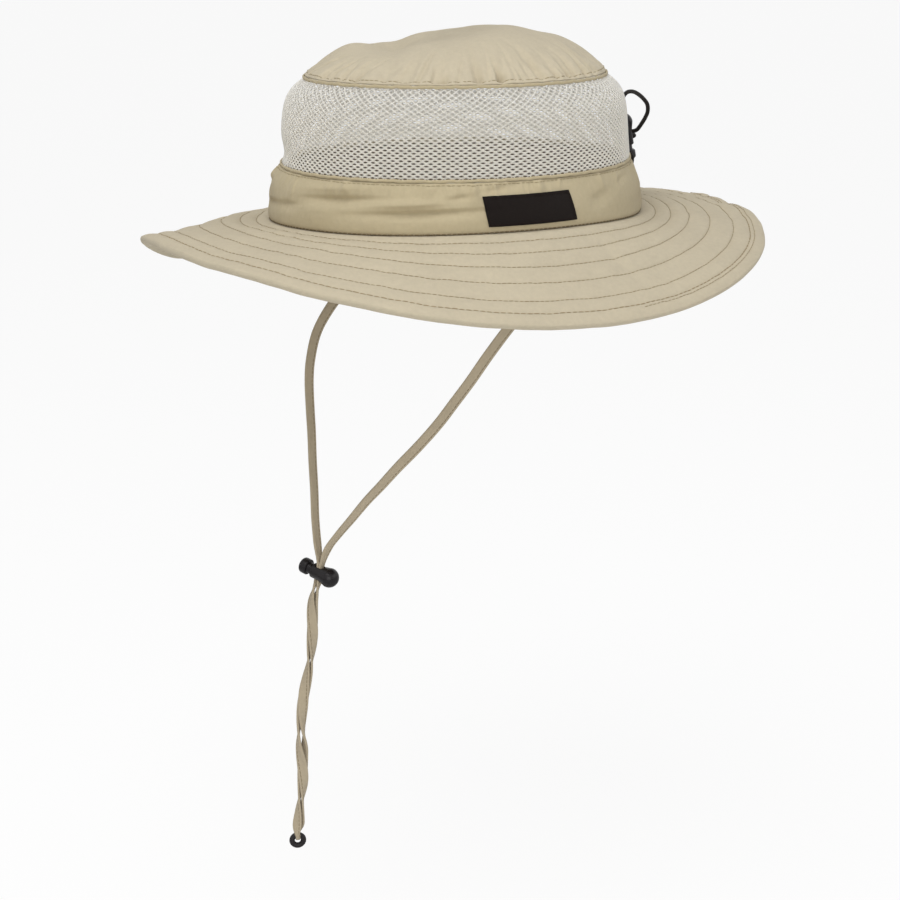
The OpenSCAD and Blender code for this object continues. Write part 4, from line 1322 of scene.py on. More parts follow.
class HAT_OT_chin_strap(HatOperator):
    """Builds the two strands and the twisted tail of the chin strap, with their stitching"""

    bl_idname = "hat.chin_strap"
    bl_label = "Chin strap"

    # Steps between two points of a route, and how far the left strand and the tail are twisted
    STEPS = 9
    LEFT_TWIST = math.radians(40)
    TAIL_TWIST = math.radians(675)
    # Where the tail's strands part: share of its length, half of the stretch, distance in millimetres
    TAIL_SWELLS = [(0.08, 0.05, 0.3), (0.64, 0.06, 0.9)]
    # Loop through the ring: steps and radius
    LOOP_STEPS = 14
    LOOP_RADIUS = 2.55 * MM
    # Shares of the tail at which it has left the lock's pinch, opens to the loop and meets the ring's pinch
    LOCK_END = 0.08
    LOOP_START = 0.9
    RING_START = 0.94
    # A strand's root: its place along Y, its first drop, and how its width grows from a share to the whole
    ROOT_Y = 12 * MM
    ROOT_DROP = 3 * MM
    ROOT_SHARE = 0.55
    ROOT_STRETCH = (2 * MM, 14 * MM)
    STITCH_PITCH = 2.4 * MM

    def execute(self, context):
        self.begin(context)
        self.lock = chin_lock(self.strap)
        self.make_strand("left", 1, LEFT_POINTS, self.LEFT_TWIST)
        self.make_strand("right", -1, RIGHT_POINTS, 0)
        self.make_tail()
        return {"FINISHED"}

    def foot(self, side):
        """Where a strand leaves its tab under the brim."""
        low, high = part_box("strap_tab_left" if side > 0 else "strap_tab_right")
        return np.array([(low.x + high.x) / 2, self.ROOT_Y, low.z])

    def make_strand(self, name, side, points, twist):
        """One strand from its tab to the lock."""
        foot = self.foot(side)
        knots = [foot, foot - (0, 0, self.ROOT_DROP), *metres(points)]
        knots += [self.lock.strand(side, STRAP_DROP), self.lock.strand(side, 0)]
        route = curve_through(knots, self.STEPS)
        share_along = np.linspace(0, 1, len(route))
        turn = CHIN_TURN * smoothstep(0, 1, share_along) - twist * np.sin(math.pi * share_along)
        last = len(knots) - 1
        near_lock = smoothstep((last - 2) / last, (last - 1) / last, share_along)
        widths = mix(self.strap.width, self.strap.lock_width, near_lock)
        grown = smoothstep(*self.ROOT_STRETCH, share_along * route_length(route))
        self.finish_piece(name, route, level_side(turn), widths * mix(self.ROOT_SHARE, 1, grown), foot)

    def make_tail(self):
        """Both strands of the tail, twisted round each other, and the loop that joins them in the ring."""
        start = self.lock.at - STRAP_DROP * self.lock.passage
        line = [start, *metres(TAIL_POINTS), np.array(RING_TOP)]
        centre = curve_through(line, self.STEPS)
        t = np.linspace(0, 1, len(centre))
        turn = CHIN_TURN + self.TAIL_TWIST * t
        out = level_way(turn)
        apart = mix(self.lock.half_gap, self.LOOP_RADIUS, smoothstep(self.LOOP_START, 1, t))
        for middle, half, swell in self.TAIL_SWELLS:
            apart = apart + swell * MM * np.exp(-(((t - middle) / half) ** 2))
        down = centre + apart[:, None] * out
        up = centre - apart[:, None] * out
        bend = np.linspace(0, math.pi, self.LOOP_STEPS + 1)[1:-1, None]
        sag = np.sin(bend) * np.array([0, 0, 1])
        under = centre[-1] + self.LOOP_RADIUS * (np.cos(bend) * out[-1] - sag)
        route = np.concatenate(
            [[self.lock.strand(1, 0)], down, under, up[::-1], [self.lock.strand(-1, 0)]]
        )
        side = level_side(turn)
        across = self.there_and_back(side[:1], side, np.repeat(side[-1:], len(under), 0))
        sizes = self.strap
        wide = mix(sizes.width, sizes.lock_width, 1 - smoothstep(0, self.LOCK_END, t))
        wide = mix(wide, sizes.ring_width, smoothstep(self.RING_START, 1, t))
        loop = np.full(len(under), sizes.ring_width)
        widths = self.there_and_back(np.full(1, sizes.lock_width), wide, loop)
        self.finish_piece("tail", route, across, widths, RING_TOP)

    @staticmethod
    def there_and_back(end, strand, loop):
        """Values along the tail: down one strand, round the loop and up the other."""
        return np.concatenate([end, strand, loop, strand[::-1], end])

    def finish_piece(self, name, route, across, widths, start):
        """A strap with its stitches."""
        thickness = self.strap.thickness
        mesh = strap_mesh(f"strap_{name}", route, across, widths, thickness)
        piece = add_object(f"strap_{name}", mesh, strap_finish(self.colours))
        rows = strap_seams(route, across, widths, thickness)
        thread = thread_and_seam_shadow_finish(self.colours)
        stitches = sew(
            f"strap_{name}_stitches", rows, self.stitch, thread, seed=5, pitch=self.STITCH_PITCH, closed=False
        )
        for made in (piece, stitches):
            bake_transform(made)
        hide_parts(f"chin_strap_{name}")


class HAT_OT_drawcord(HatOperator):
    """Builds the elastic in its casing, the eyelets and the loop behind the crown"""

    bl_idname = "hat.drawcord"
    bl_label = "Drawcord"

    # Steps between two points of the loop's route, and sides of its section
    STEPS = 8
    SIDES = 16
    # Eyelets: height, distance from the middle of the back, and the round of their edges
    LEVEL = 14 * MM
    EYELET_X = 6 * MM
    EYELET_EDGE = 0.15 * MM
    # Where the elastic is sewn into its casing, its distance inside the band and its steps to the eyelet
    START = math.radians(128)
    CASING = 2.15 * MM
    CASING_STEPS = 60
    # Points of a lead on the axis of its eyelet: distance outside the band, negative where it is inside
    LEAD_OUT = 1.2 * MM
    LEAD_IN = -0.8 * MM

    def execute(self, context):
        self.begin(context)
        finish = cloth_finish("cord_braid", self.colours.label, crinkle=0.15, weave=0.8)
        lock = rear_lock(self.strap, self.crown)
        back = np.array([0, self.crown.half_y, 0])
        leads = [back + metres(LEFT_LEAD), back + metres(RIGHT_LEAD)[::-1]]
        knots = [self.past_eyelet(1, self.LEAD_IN), self.past_eyelet(1, self.LEAD_OUT), *leads[0]]
        knots += [lock.strand(1, along) for along in (-LOCK_LEAD, 0, LOCK_LEAD)]
        knots += list(back + metres(LOOP_POINTS))
        knots += [lock.strand(-1, along) for along in (LOCK_LEAD, 0, -LOCK_LEAD)]
        knots += [*leads[1], self.past_eyelet(-1, self.LEAD_OUT), self.past_eyelet(-1, self.LEAD_IN)]
        route = curve_through(knots, self.STEPS)
        loop = tube("elastic_loop", route, self.strap.cord / 2, finish, self.SIDES)
        tuple(self.past_eyelet(1, 0))
        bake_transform(loop)
        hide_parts("drawcord_loop")
        self.make_casing(finish)
        black = black_finish(self.colours)
        eyelets = smooth_copy("drawcord_eyelets", "eyelet_rings", black, self.EYELET_EDGE)
        dress(eyelets, "hat", "eyelet_enamel", "drawcord_eyelets")
        return {"FINISHED"}

    def eyelet_phi(self, side):
        """Angle of an eyelet from the front."""
        reach = self.crown.half_x - self.crown.band_inset(self.LEVEL)
        return math.pi - side * math.asin(self.EYELET_X / reach)

    def past_eyelet(self, side, out):
        """Point on an eyelet's axis, so far outside the band."""
        crown = self.crown
        inset = float(crown.band_inset(self.LEVEL))
        x, y, z = crown.oval(self.eyelet_phi(side), inset, self.LEVEL)
        lean = math.atan2(y / crown.half_y**2, x / crown.half_x**2)
        curve = crown.sizes.band_curve
        rise = crown.band_lean * curve * (self.LEVEL / crown.band_top) ** (curve - 1) / crown.band_top
        tilt = math.atan(rise)
        level = math.cos(tilt)
        return np.array([x, y, z]) + out * np.array(
            [level * math.cos(lean), level * math.sin(lean), math.sin(tilt)]
        )

    def make_casing(self, finish):
        """Both ends of the elastic, sewn into the casing behind the band."""
        crown = self.crown
        inset = float(crown.band_inset(self.LEVEL)) + self.CASING
        halves = []
        for side in (1, -1):
            phi = side * np.linspace(self.START, self.eyelet_phi(1), self.CASING_STEPS)
            out = crown.sag(phi, self.LEVEL) + np.minimum(crown.band_lift(phi, self.LEVEL), 0)
            route = crown.oval(phi, inset - out, self.LEVEL)
            halves.append(tube(f"casing_{side}", route, self.strap.cord / 2, finish))
        mesh = join_meshes("drawcord_elastic", halves)
        dress(add_object("elastic_in_casing", mesh, finish), "hat", "elastic_cord", "drawcord_elastic")


def join_meshes(name, pieces):
    """One mesh from several objects, which are removed."""
    builder = bmesh.new()
    for piece in pieces:
        builder.from_mesh(piece.data)
    mesh = bpy.data.meshes.new(name)
    builder.to_mesh(mesh)
    builder.free()
    for piece in pieces:
        bpy.data.objects.remove(piece)
    mesh.shade_smooth()
    return mesh


class HAT_OT_cord_locks(HatOperator):
    """Builds the two cord locks with their plungers and springs"""

    bl_idname = "hat.cord_locks"
    bl_label = "Cord locks"

    EDGE = 0.25 * MM
    # Half the thickness of the spring's wire, and its turns
    WIRE = 0.35 * MM
    TURNS = 4.0

    def execute(self, context):
        self.begin(context)
        black = black_finish(self.colours)
        places = {"chin": chin_lock(self.strap), "rear": rear_lock(self.strap, self.crown)}
        for name, lock in places.items():
            body = smooth_copy(f"{name}_lock_body", f"{name}_lock_barrel", black, self.EDGE)
            dress(body, f"{name}_lock", "lock_plastic", f"{name}_lock_body")
            plunger = smooth_copy(f"{name}_lock_plunger", f"{name}_lock_button", black, self.EDGE)
            dress(plunger, f"{name}_plunger", "lock_plastic", f"{name}_lock_plunger")
            self.make_spring(name, lock)
        return {"FINISHED"}

    def make_spring(self, name, lock):
        """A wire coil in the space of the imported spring."""
        node = f"{name}_lock_spring"
        corners = np.array([v.co for v in frame["nodes"][node].data.vertices]) - lock.at
        along = corners @ lock.axis
        radius = np.linalg.norm(corners - along[:, None] * lock.axis, axis=1).max()
        low, high = along.min() + self.WIRE, along.max() - self.WIRE
        steel = plain_finish("spring_wire", self.colours.steel, 0.3, Metallic=1.0)
        inputs = {
            "Turns": self.TURNS,
            "Radius": radius - self.WIRE,
            "Height": high - low,
            "Wire": self.WIRE,
            "Finish": steel,
        }
        coil = grow(f"{name}_lock_coil", bpy.data.meshes.new(node), spring_tree(), inputs)
        turn = Vector(lock.axis).to_track_quat("Z", "Y").to_matrix().to_4x4()
        coil.data.transform(Matrix.Translation(Vector(lock.at + lock.axis * low)) @ turn)
        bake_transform(coil)
        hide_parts(node)


class HAT_OT_end_ring(HatOperator):
    """Builds the rubber ring at the end of the tail"""

    bl_idname = "hat.end_ring"
    bl_label = "End ring"

    # Steps round the ring, sides of its section, and half its thickness
    STEPS = 72
    SIDES = 24
    HALF_THICKNESS = 1.6 * MM

    def execute(self, context):
        self.begin(context)
        low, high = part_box("chin_end_ring")
        centre = np.array((low + high) / 2)
        half = self.HALF_THICKNESS
        radius = (high.z - low.z) / 2 - half
        twist = CHIN_TURN + HAT_OT_chin_strap.TAIL_TWIST
        section = turns(self.SIDES)[:, None]
        rings = []
        for turn in turns(self.STEPS):
            out = math.cos(turn) * level_side(twist) + math.sin(turn) * np.array([0, 0, 1])
            aside = half * np.sin(section) * level_way(twist)
            rings.append(centre + (radius + half * np.cos(section)) * out + aside)
        mesh = grid_mesh("end_ring", rings, close_along=True, close_across=True)
        rubber = plain_finish("black_rubber", self.colours.black, 0.62, grain=1800, Specular_IOR_Level=0.35)
        ring = add_object("rubber_ring", mesh, rubber)
        outward(ring.data)
        dress(ring, "chin_strap", "ring_rubber", "chin_end_ring")
        return {"FINISHED"}


def outward(mesh):
    """Turns the faces of a closed mesh outwards."""
    builder = bmesh.new()
    builder.from_mesh(mesh)
    bmesh.ops.recalc_face_normals(builder, faces=builder.faces)
    builder.to_mesh(mesh)
    builder.free()


class HAT_OT_brim(HatOperator):
    """Builds the brim's quilted top with its turned hem, its interlining and its underside"""

    bl_idname = "hat.brim"
    bl_label = "Brim"

    TURNS = 440
    # Greatest distance between the rings of the top face, and its ring in the sewn margin
    RING_STEP = 2.2 * MM
    MARGIN_RING = -2 * MM
    # Rings beside each row of stitches, in millimetres from it, so that its groove is kept
    BESIDE_ROW = (-1.2, -0.6, -0.25, 0, 0.25, 0.6, 1.2)
    # Round edge: its radius outwards and its steps
    LIP = 1.2 * MM
    LIP_STEPS = 8
    # Hem: how far it lies below the underside, and its rings
    HEM_SINK = 0.35 * MM
    HEM_RINGS = 8
    # Underside: how far it stays inside the edge, and its rings
    UNDER_INSIDE = 4 * MM
    UNDER_RINGS = 46
    # Interlining: how far it stays inside the margin and the edge, its depth, thickness and rings
    CORE_INSIDE_MARGIN = 0.5 * MM
    CORE_INSIDE_EDGE = 3 * MM
    CORE_DEPTH = 0.9 * MM
    CORE_THICKNESS = 0.6 * MM
    CORE_RINGS = 24

    def execute(self, context):
        self.begin(context)
        brim, sizes = self.brim, self.brim.sizes
        phi = turns(self.TURNS)[:, None]
        top = brim.face(phi, self.top_runs()[None, :])
        edge = self.edge_points(phi)
        hem_runs = np.linspace(sizes.width - self.LIP, sizes.width - sizes.hem, self.HEM_RINGS)
        hem = brim.under_face(phi, hem_runs[None, :], self.HEM_SINK)
        mesh = grid_mesh("brim_top", np.concatenate([top, edge, hem], 1), close_along=True, flip=True)
        piece = thicken(add_object("brim_top_cloth", mesh, shell_finish(self.colours)), sizes.cloth)
        dress(piece, "hat", "shell_fabric", "brim_top")
        self.make_under(phi)
        self.make_core(phi)
        return {"FINISHED"}

    def top_runs(self):
        """Distances from the crown of the top face's rings, closer together at the rows."""
        brim, sizes = self.brim, self.brim.sizes
        runs = [-sizes.margin, self.MARGIN_RING, 0]
        edges = [0, *brim.rows, sizes.width - self.LIP]
        for low, high in zip(edges, edges[1:]):
            runs += list(np.linspace(low, high, 2 + int((high - low) / self.RING_STEP))[1:-1])
        runs += [row + near * MM for row in brim.rows for near in self.BESIDE_ROW]
        return np.array(sorted([*runs, sizes.width - self.LIP]))

    def edge_points(self, phi):
        """The round edge where the top cloth turns under."""
        brim, sizes = self.brim, self.brim.sizes
        run = np.array([[sizes.width - self.LIP]])
        above = -brim.puff(phi, run) - brim.wave(phi, run)
        below = brim.under_depth(phi, run) + self.HEM_SINK
        middle = (above + below) / 2
        half = (below - above) / 2
        turn = np.linspace(0, math.pi, self.LIP_STEPS + 1)[None, 1:-1]
        return brim.point(phi, run + self.LIP * np.sin(turn), middle - half * np.cos(turn))

    def make_under(self, phi):
        """The cloth of the underside."""
        brim, sizes = self.brim, self.brim.sizes
        runs = np.linspace(0, sizes.width - self.UNDER_INSIDE, self.UNDER_RINGS)
        runs = np.concatenate([[-sizes.margin], runs])
        points = brim.under_face(phi[::2], runs[None, :])
        mesh = grid_mesh("brim_underside", points, close_along=True)
        # The lining's darker colour is partly painted shade under the brim
        lining = cloth_finish("khaki_lining", self.colours.lining)
        piece = thicken(add_object("brim_under_cloth", mesh, lining), sizes.cloth)
        dress(piece, "hat", "under_fabric", "brim_underside")

    def make_core(self, phi):
        """The stiff sheet between the two cloths."""
        brim, sizes = self.brim, self.brim.sizes
        inner = -sizes.margin + self.CORE_INSIDE_MARGIN
        runs = np.linspace(inner, sizes.width - self.CORE_INSIDE_EDGE, self.CORE_RINGS)[None, :]
        phi = phi[::4]
        points = brim.point(phi, runs, self.CORE_DEPTH - brim.wave(phi, runs))
        mesh = grid_mesh("brim_core", points, close_along=True, flip=True)
        core = cloth_finish("core_cloth", self.colours.core)
        piece = thicken(add_object("brim_core_sheet", mesh, core), self.CORE_THICKNESS)
        dress(piece, "hat", "interlining", "brim_interlining")


class HAT_OT_brim_stitching(HatOperator):
    """Sews the rings of stitches round the brim"""

    bl_idname = "hat.brim_stitching"
    bl_label = "Brim stitching"

    # Points of a whole row, and of the second row at the back
    POINTS = 720
    SECOND_POINTS = 320
    # Lift of the stitches above the cloth, and above the hem under the brim
    LIFT = 0.16 * MM
    HEM_LIFT = 0.45 * MM
    HEM_PITCH = 3.4 * MM
    HEM_BOLD = 1.5

    def execute(self, context):
        self.begin(context)
        brim = self.brim
        phi = turns(self.POINTS)
        thread = thread_finish(self.colours)
        *inner, hem, second = brim.rows
        rows = [brim.face(phi, run, self.LIFT) for run in inner]
        top = sew("brim_top_stitches", rows, self.stitch, thread, seed=3)
        dress(top, "hat", "shell_fabric")
        rows = [brim.face(phi, hem, self.LIFT)]
        bold = sew(
            "hem_stitches", rows, self.stitch, thread, seed=2, pitch=self.HEM_PITCH, bold=self.HEM_BOLD
        )
        dress(bold, "hat", "shell_fabric")
        rows = [brim.face(np.linspace(*brim.DOUBLE, self.SECOND_POINTS), second, self.LIFT)]
        double = sew("hem_second_stitches", rows, self.stitch, thread, seed=7, closed=False)
        dress(double, "hat", "shell_fabric")
        rows = [brim.under_face(phi, run, self.LIFT) for run in inner]
        rows.append(brim.under_face(phi, hem, self.HEM_LIFT))
        under = sew("brim_under_stitches", rows, self.stitch, thread, seed=4)
        dress(under, "hat", "under_fabric")
        return {"FINISHED"}


class HAT_OT_crown_band(HatOperator):
    """Builds the solid band round the foot of the crown"""

    bl_idname = "hat.crown_band"
    bl_label = "Crown band"

    TURNS = 840
    # Rings of the band, and the power that crowds them towards its foot
    RINGS = 54
    CROWDING = 1.5
    # How far the band runs below the seam at the brim and above its own top
    BELOW = 0.4 * MM
    ABOVE = 0.2 * MM

    def execute(self, context):
        self.begin(context)
        crown = self.crown
        phi = turns(self.TURNS)[:, None]
        foot = -self.BELOW - crown.seam_dip(phi)
        part = np.linspace(0, 1, self.RINGS)[None, :] ** self.CROWDING
        levels = mix(foot, crown.band_top + self.ABOVE, part)
        mesh = grid_mesh("crown_band", crown.band_point(phi, levels), close_along=True)
        piece = thicken(add_object("band_cloth", mesh, band_finish(self.colours)), crown.sizes.cloth)
        dress(piece, "hat", "shell_fabric", "crown_band")
        return {"FINISHED"}


class HAT_OT_mesh_band(HatOperator):
    """Knits the open mesh between the band and the tip"""

    bl_idname = "hat.mesh_band"
    bl_label = "Mesh band"

    # Half the width of a knot, in columns, and the hole's shares of its cell's width and height
    KNOT = 0.0977
    HOLE = (0.74, 0.27)

    def execute(self, context):
        self.begin(context)
        crown, sizes = self.crown, self.crown.sizes
        net = net_finish(self.colours)
        inputs = {
            "Columns": sizes.net_columns,
            "Rows": sizes.net_rows,
            "Half X": crown.half_x - sizes.net_thread,
            "Half Y": crown.half_y - sizes.net_thread,
            "Foot": crown.mesh_foot,
            "Height": crown.mesh_top - crown.mesh_foot,
            "Band lean": crown.band_lean,
            "Mesh lean": sizes.mesh_lean,
            "Shoulder": crown.shoulder,
            "Shoulder curve": sizes.shoulder_curve,
            "Finish": net,
        }
        piece = grow("mesh_knit", self.cell(sizes.net_thread), net_tree(), inputs)
        self.close_edges(piece.data)
        self.sag(piece.data)
        dress(piece, "hat", "mesh_knit", "mesh_band")
        return {"FINISHED"}

    def cell(self, thread):
        """One hole of the knit with half of each thread round it, one column wide and two rows high."""
        reach = 0.5 - self.KNOT
        tile = [(reach, 0), (self.KNOT, 1), (-self.KNOT, 1), (-reach, 0), (-self.KNOT, -1), (self.KNOT, -1)]
        hole = [(x * self.HOLE[0], y * self.HOLE[1]) for x, y in tile]
        vertices = [(x, y, thread) for x, y in tile]
        vertices += [(x, y, 0) for x, y in hole]
        vertices += [(x, y, -thread) for x, y in tile]
        faces = []
        sides = len(tile)
        for k in range(sides):
            n = (k + 1) % sides
            faces.append((k, n, sides + n, sides + k))
            faces.append((2 * sides + n, 2 * sides + k, sides + k, sides + n))
        mesh = bpy.data.meshes.new("knit_cell")
        mesh.from_pydata(vertices, [], faces)
        return mesh

    def sag(self, mesh):
        """Lets the knit fall in and out with the rest of the crown's wall."""
        crown = self.crown
        points = np.empty(len(mesh.vertices) * 3)
        mesh.vertices.foreach_get("co", points)
        x, y, z = points.reshape(-1, 3).T
        phi = np.arctan2(x / crown.half_x, -y / crown.half_y)
        out = crown.sag(phi, z)
        moved = np.stack([x + out * np.sin(phi), y - out * np.cos(phi), z], -1)
        mesh.vertices.foreach_set("co", moved.ravel())
        mesh.update()

    def close_edges(self, mesh):
        """Joins the front and the back of the threads at the two cut edges."""
        builder = bmesh.new()
        builder.from_mesh(mesh)
        middle = (self.crown.mesh_foot + self.crown.mesh_top) / 2
        for above in (False, True):
            rim = [e for e in builder.edges if e.is_boundary and (e.verts[0].co.z > middle) == above]
            bmesh.ops.bridge_loops(builder, edges=rim)
        bmesh.ops.recalc_face_normals(builder, faces=builder.faces)
        builder.to_mesh(mesh)
        builder.free()
        mesh.shade_smooth()


class HAT_OT_crown_tip(HatOperator):
    """Builds the soft domed tip with the gathers above its seam"""

    bl_idname = "hat.crown_tip"
    bl_label = "Crown tip"

    TURNS = 540
    # Rings of the tip, the power that crowds them towards its seam, and the share of the radius they cover
    RINGS = 66
    CROWDING = 1.35
    COVERED = 0.985
    # Depth below the top in which the last ring lies
    TOP_DEPTH = 6 * MM

    def execute(self, context):
        self.begin(context)
        crown = self.crown
        phi = turns(self.TURNS)[:, None]
        rho = 1 - np.linspace(0, 1, self.RINGS)[None, :] ** self.CROWDING * self.COVERED
        points = crown.tip_point(phi, rho)
        mesh = grid_mesh("crown_tip", points, close_along=True)
        self.close_top(mesh)
        piece = thicken(add_object("tip_cloth", mesh, shell_finish(self.colours)), crown.sizes.cloth)
        dress(piece, "hat", "shell_fabric", "crown_tip")
        return {"FINISHED"}

    def close_top(self, mesh):
        """Fills the small round left at the top of the dome."""
        builder = bmesh.new()
        builder.from_mesh(mesh)
        least = max(v.co.z for v in builder.verts) - self.TOP_DEPTH
        rim = [e for e in builder.edges if e.is_boundary and e.verts[0].co.z > least]
        ring = bmesh.ops.holes_fill(builder, edges=rim)["faces"]
        bmesh.ops.poke(builder, faces=ring)
        bmesh.ops.recalc_face_normals(builder, faces=builder.faces)
        builder.to_mesh(mesh)
        builder.free()
        mesh.shade_smooth()


class HAT_OT_seams(HatOperator):
    """Builds the rolled seams above and below the mesh, and their stitches"""

    bl_idname = "hat.seams"
    bl_label = "Seams"

    # Points in a turn, and sides of a roll's section
    TURNS = 720
    SIDES = 14
    # Section of a roll: distance out of the crown's wall, half depth and half height
    OUT = 0.2 * MM
    HALF_DEPTH = 0.55 * MM
    HALF_HEIGHT = 0.85 * MM
    # Wave of a roll up and down: height, and the two counts of waves in a turn
    WAVE = 0.22 * MM
    WAVES = (61, 23)
    # How far the tip's roll stands out of the tip's edge
    TIP_OUT = 0.4 * MM
    # Stitches beside the rolls: drop below the band's top, share of the tip's radius, lift, pitch, boldness
    BAND_DROP = 0.9 * MM
    TIP_SHARE = 0.985
    LIFT = 0.05 * MM
    PITCH = 2.6 * MM
    BOLD = 1.25
    # Dark stitches above the brim, bold so that they paint the shadow in the seam's gap: height over the
    # seam, lift and boldness
    FOOT_HEIGHT = 0.7 * MM
    FOOT_LIFT = 0.35 * MM
    FOOT_BOLD = 1.5

    def execute(self, context):
        self.begin(context)
        crown = self.crown
        level = (crown.band_top + crown.mesh_foot) / 2
        self.make_roll("band_seam_roll", "band_seam_welt", crown.band_lean, level, 0)
        level = (crown.mesh_top + crown.tip_foot) / 2
        self.make_roll("tip_seam_roll", "tip_seam_welt", crown.tip_inset - self.TIP_OUT, level, 1)
        phi = turns(self.TURNS)
        band_row = crown.band_point(phi, crown.band_top - self.BAND_DROP, self.LIFT)
        tip_row = crown.tip_point(phi, self.TIP_SHARE, self.LIFT)
        thread = seam_finish(self.colours)
        rows = [band_row, tip_row]
        stitches = sew(
            "crown_stitches", rows, self.stitch, thread, seed=8, pitch=self.PITCH, bold=self.BOLD
        )
        dress(stitches, "hat", "shell_fabric")
        # Dark thread along the band's foot: partly thread, partly painted shadow in the gap at the brim
        rows = [crown.band_point(phi, self.FOOT_HEIGHT - crown.seam_dip(phi), self.FOOT_LIFT)]
        thread = thread_and_seam_shadow_finish(self.colours)
        foot = sew("brim_seam_shadow_stitches", rows, self.stitch, thread, seed=5, bold=self.FOOT_BOLD)
        dress(foot, "hat", "shell_fabric")
        return {"FINISHED"}

    def make_roll(self, name, node, inset, level, start):
        """A rolled edge round the crown, whose wave starts at a given angle."""
        crown = self.crown
        phi = turns(self.TURNS)[:, None]
        section = turns(self.SIDES)[None, :]
        fine, coarse = self.WAVES
        wave = self.WAVE * np.sin(phi * fine + start) * np.sin(phi * coarse + 2 * start)
        out = self.OUT + self.HALF_DEPTH * np.cos(section) + crown.sag(phi, level)
        up = self.HALF_HEIGHT * np.sin(section) + wave
        points = crown.oval(phi, inset - out, level + up)
        mesh = grid_mesh(name, points, close_along=True, close_across=True)
        outward(mesh)
        dress(add_object(name, mesh, band_finish(self.colours)), "hat", "shell_fabric", node)


class HAT_OT_sweatband(HatOperator):
    """Builds the sweatband inside the crown"""

    bl_idname = "hat.sweatband"
    bl_label = "Sweatband"

    TURNS = 360
    RINGS = 24
    THICKNESS = 0.9 * MM
    # Distance inside the band at the bulge over the drawcord's casing, with its height, and at the top
    BULGE_LEVEL = 14 * MM
    BULGE_INSET = 3.5 * MM
    TOP_INSET = 1.8 * MM
    # Distance from the back of the sweatband to its face
    FACE = 1.0 * MM
    # Ripple: height, and waves in a turn
    RIPPLE = 0.25 * MM
    RIPPLE_WAVES = 17
    # Ring along which it is sewn, and how far inside it the stitches lie
    STITCH_RING = 2
    STITCH_INSET = 0.05 * MM
    STITCH_POINTS = 720

    def execute(self, context):
        self.begin(context)
        crown = self.crown
        foot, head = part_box("sweatband")
        levels = np.array([foot.z, self.BULGE_LEVEL, head.z])
        insets = np.array([
            crown.half_x - head.x,
            crown.band_inset(self.BULGE_LEVEL) + self.BULGE_INSET,
            crown.band_inset(head.z) + self.TOP_INSET,
        ])
        z = np.linspace(foot.z, head.z, self.RINGS)
        inner = np.interp(z, levels, insets) + self.FACE
        phi = turns(self.TURNS)[:, None]
        swell = np.sin(math.pi * (z - foot.z) / (head.z - foot.z))[None, :]
        ripple = self.RIPPLE * np.sin(phi * self.RIPPLE_WAVES) * swell
        points = crown.oval(phi, inner[None, :] + ripple - crown.sag(phi, z[None, :]), z[None, :])
        mesh = grid_mesh("sweatband", points, close_along=True, flip=True)
        # The sweatband's very dark colour is partly painted shade inside the crown
        finish = cloth_finish("sweat_cloth", self.colours.sweat, crinkle=0.4, weave=0.7)
        piece = thicken(add_object("sweat_cloth_band", mesh, finish), self.THICKNESS)
        dress(piece, "hat", "sweat_fabric", "sweatband")
        phi = turns(self.STITCH_POINTS)
        level = z[self.STITCH_RING]
        inset = inner[self.STITCH_RING] + self.STITCH_INSET - crown.sag(phi, level)
        rows = [crown.oval(phi, inset, level)]
        stitches = sew("sweatband_stitches", rows, self.stitch, thread_finish(self.colours), seed=6)
        dress(stitches, "hat", "sweat_fabric")
        return {"FINISHED"}


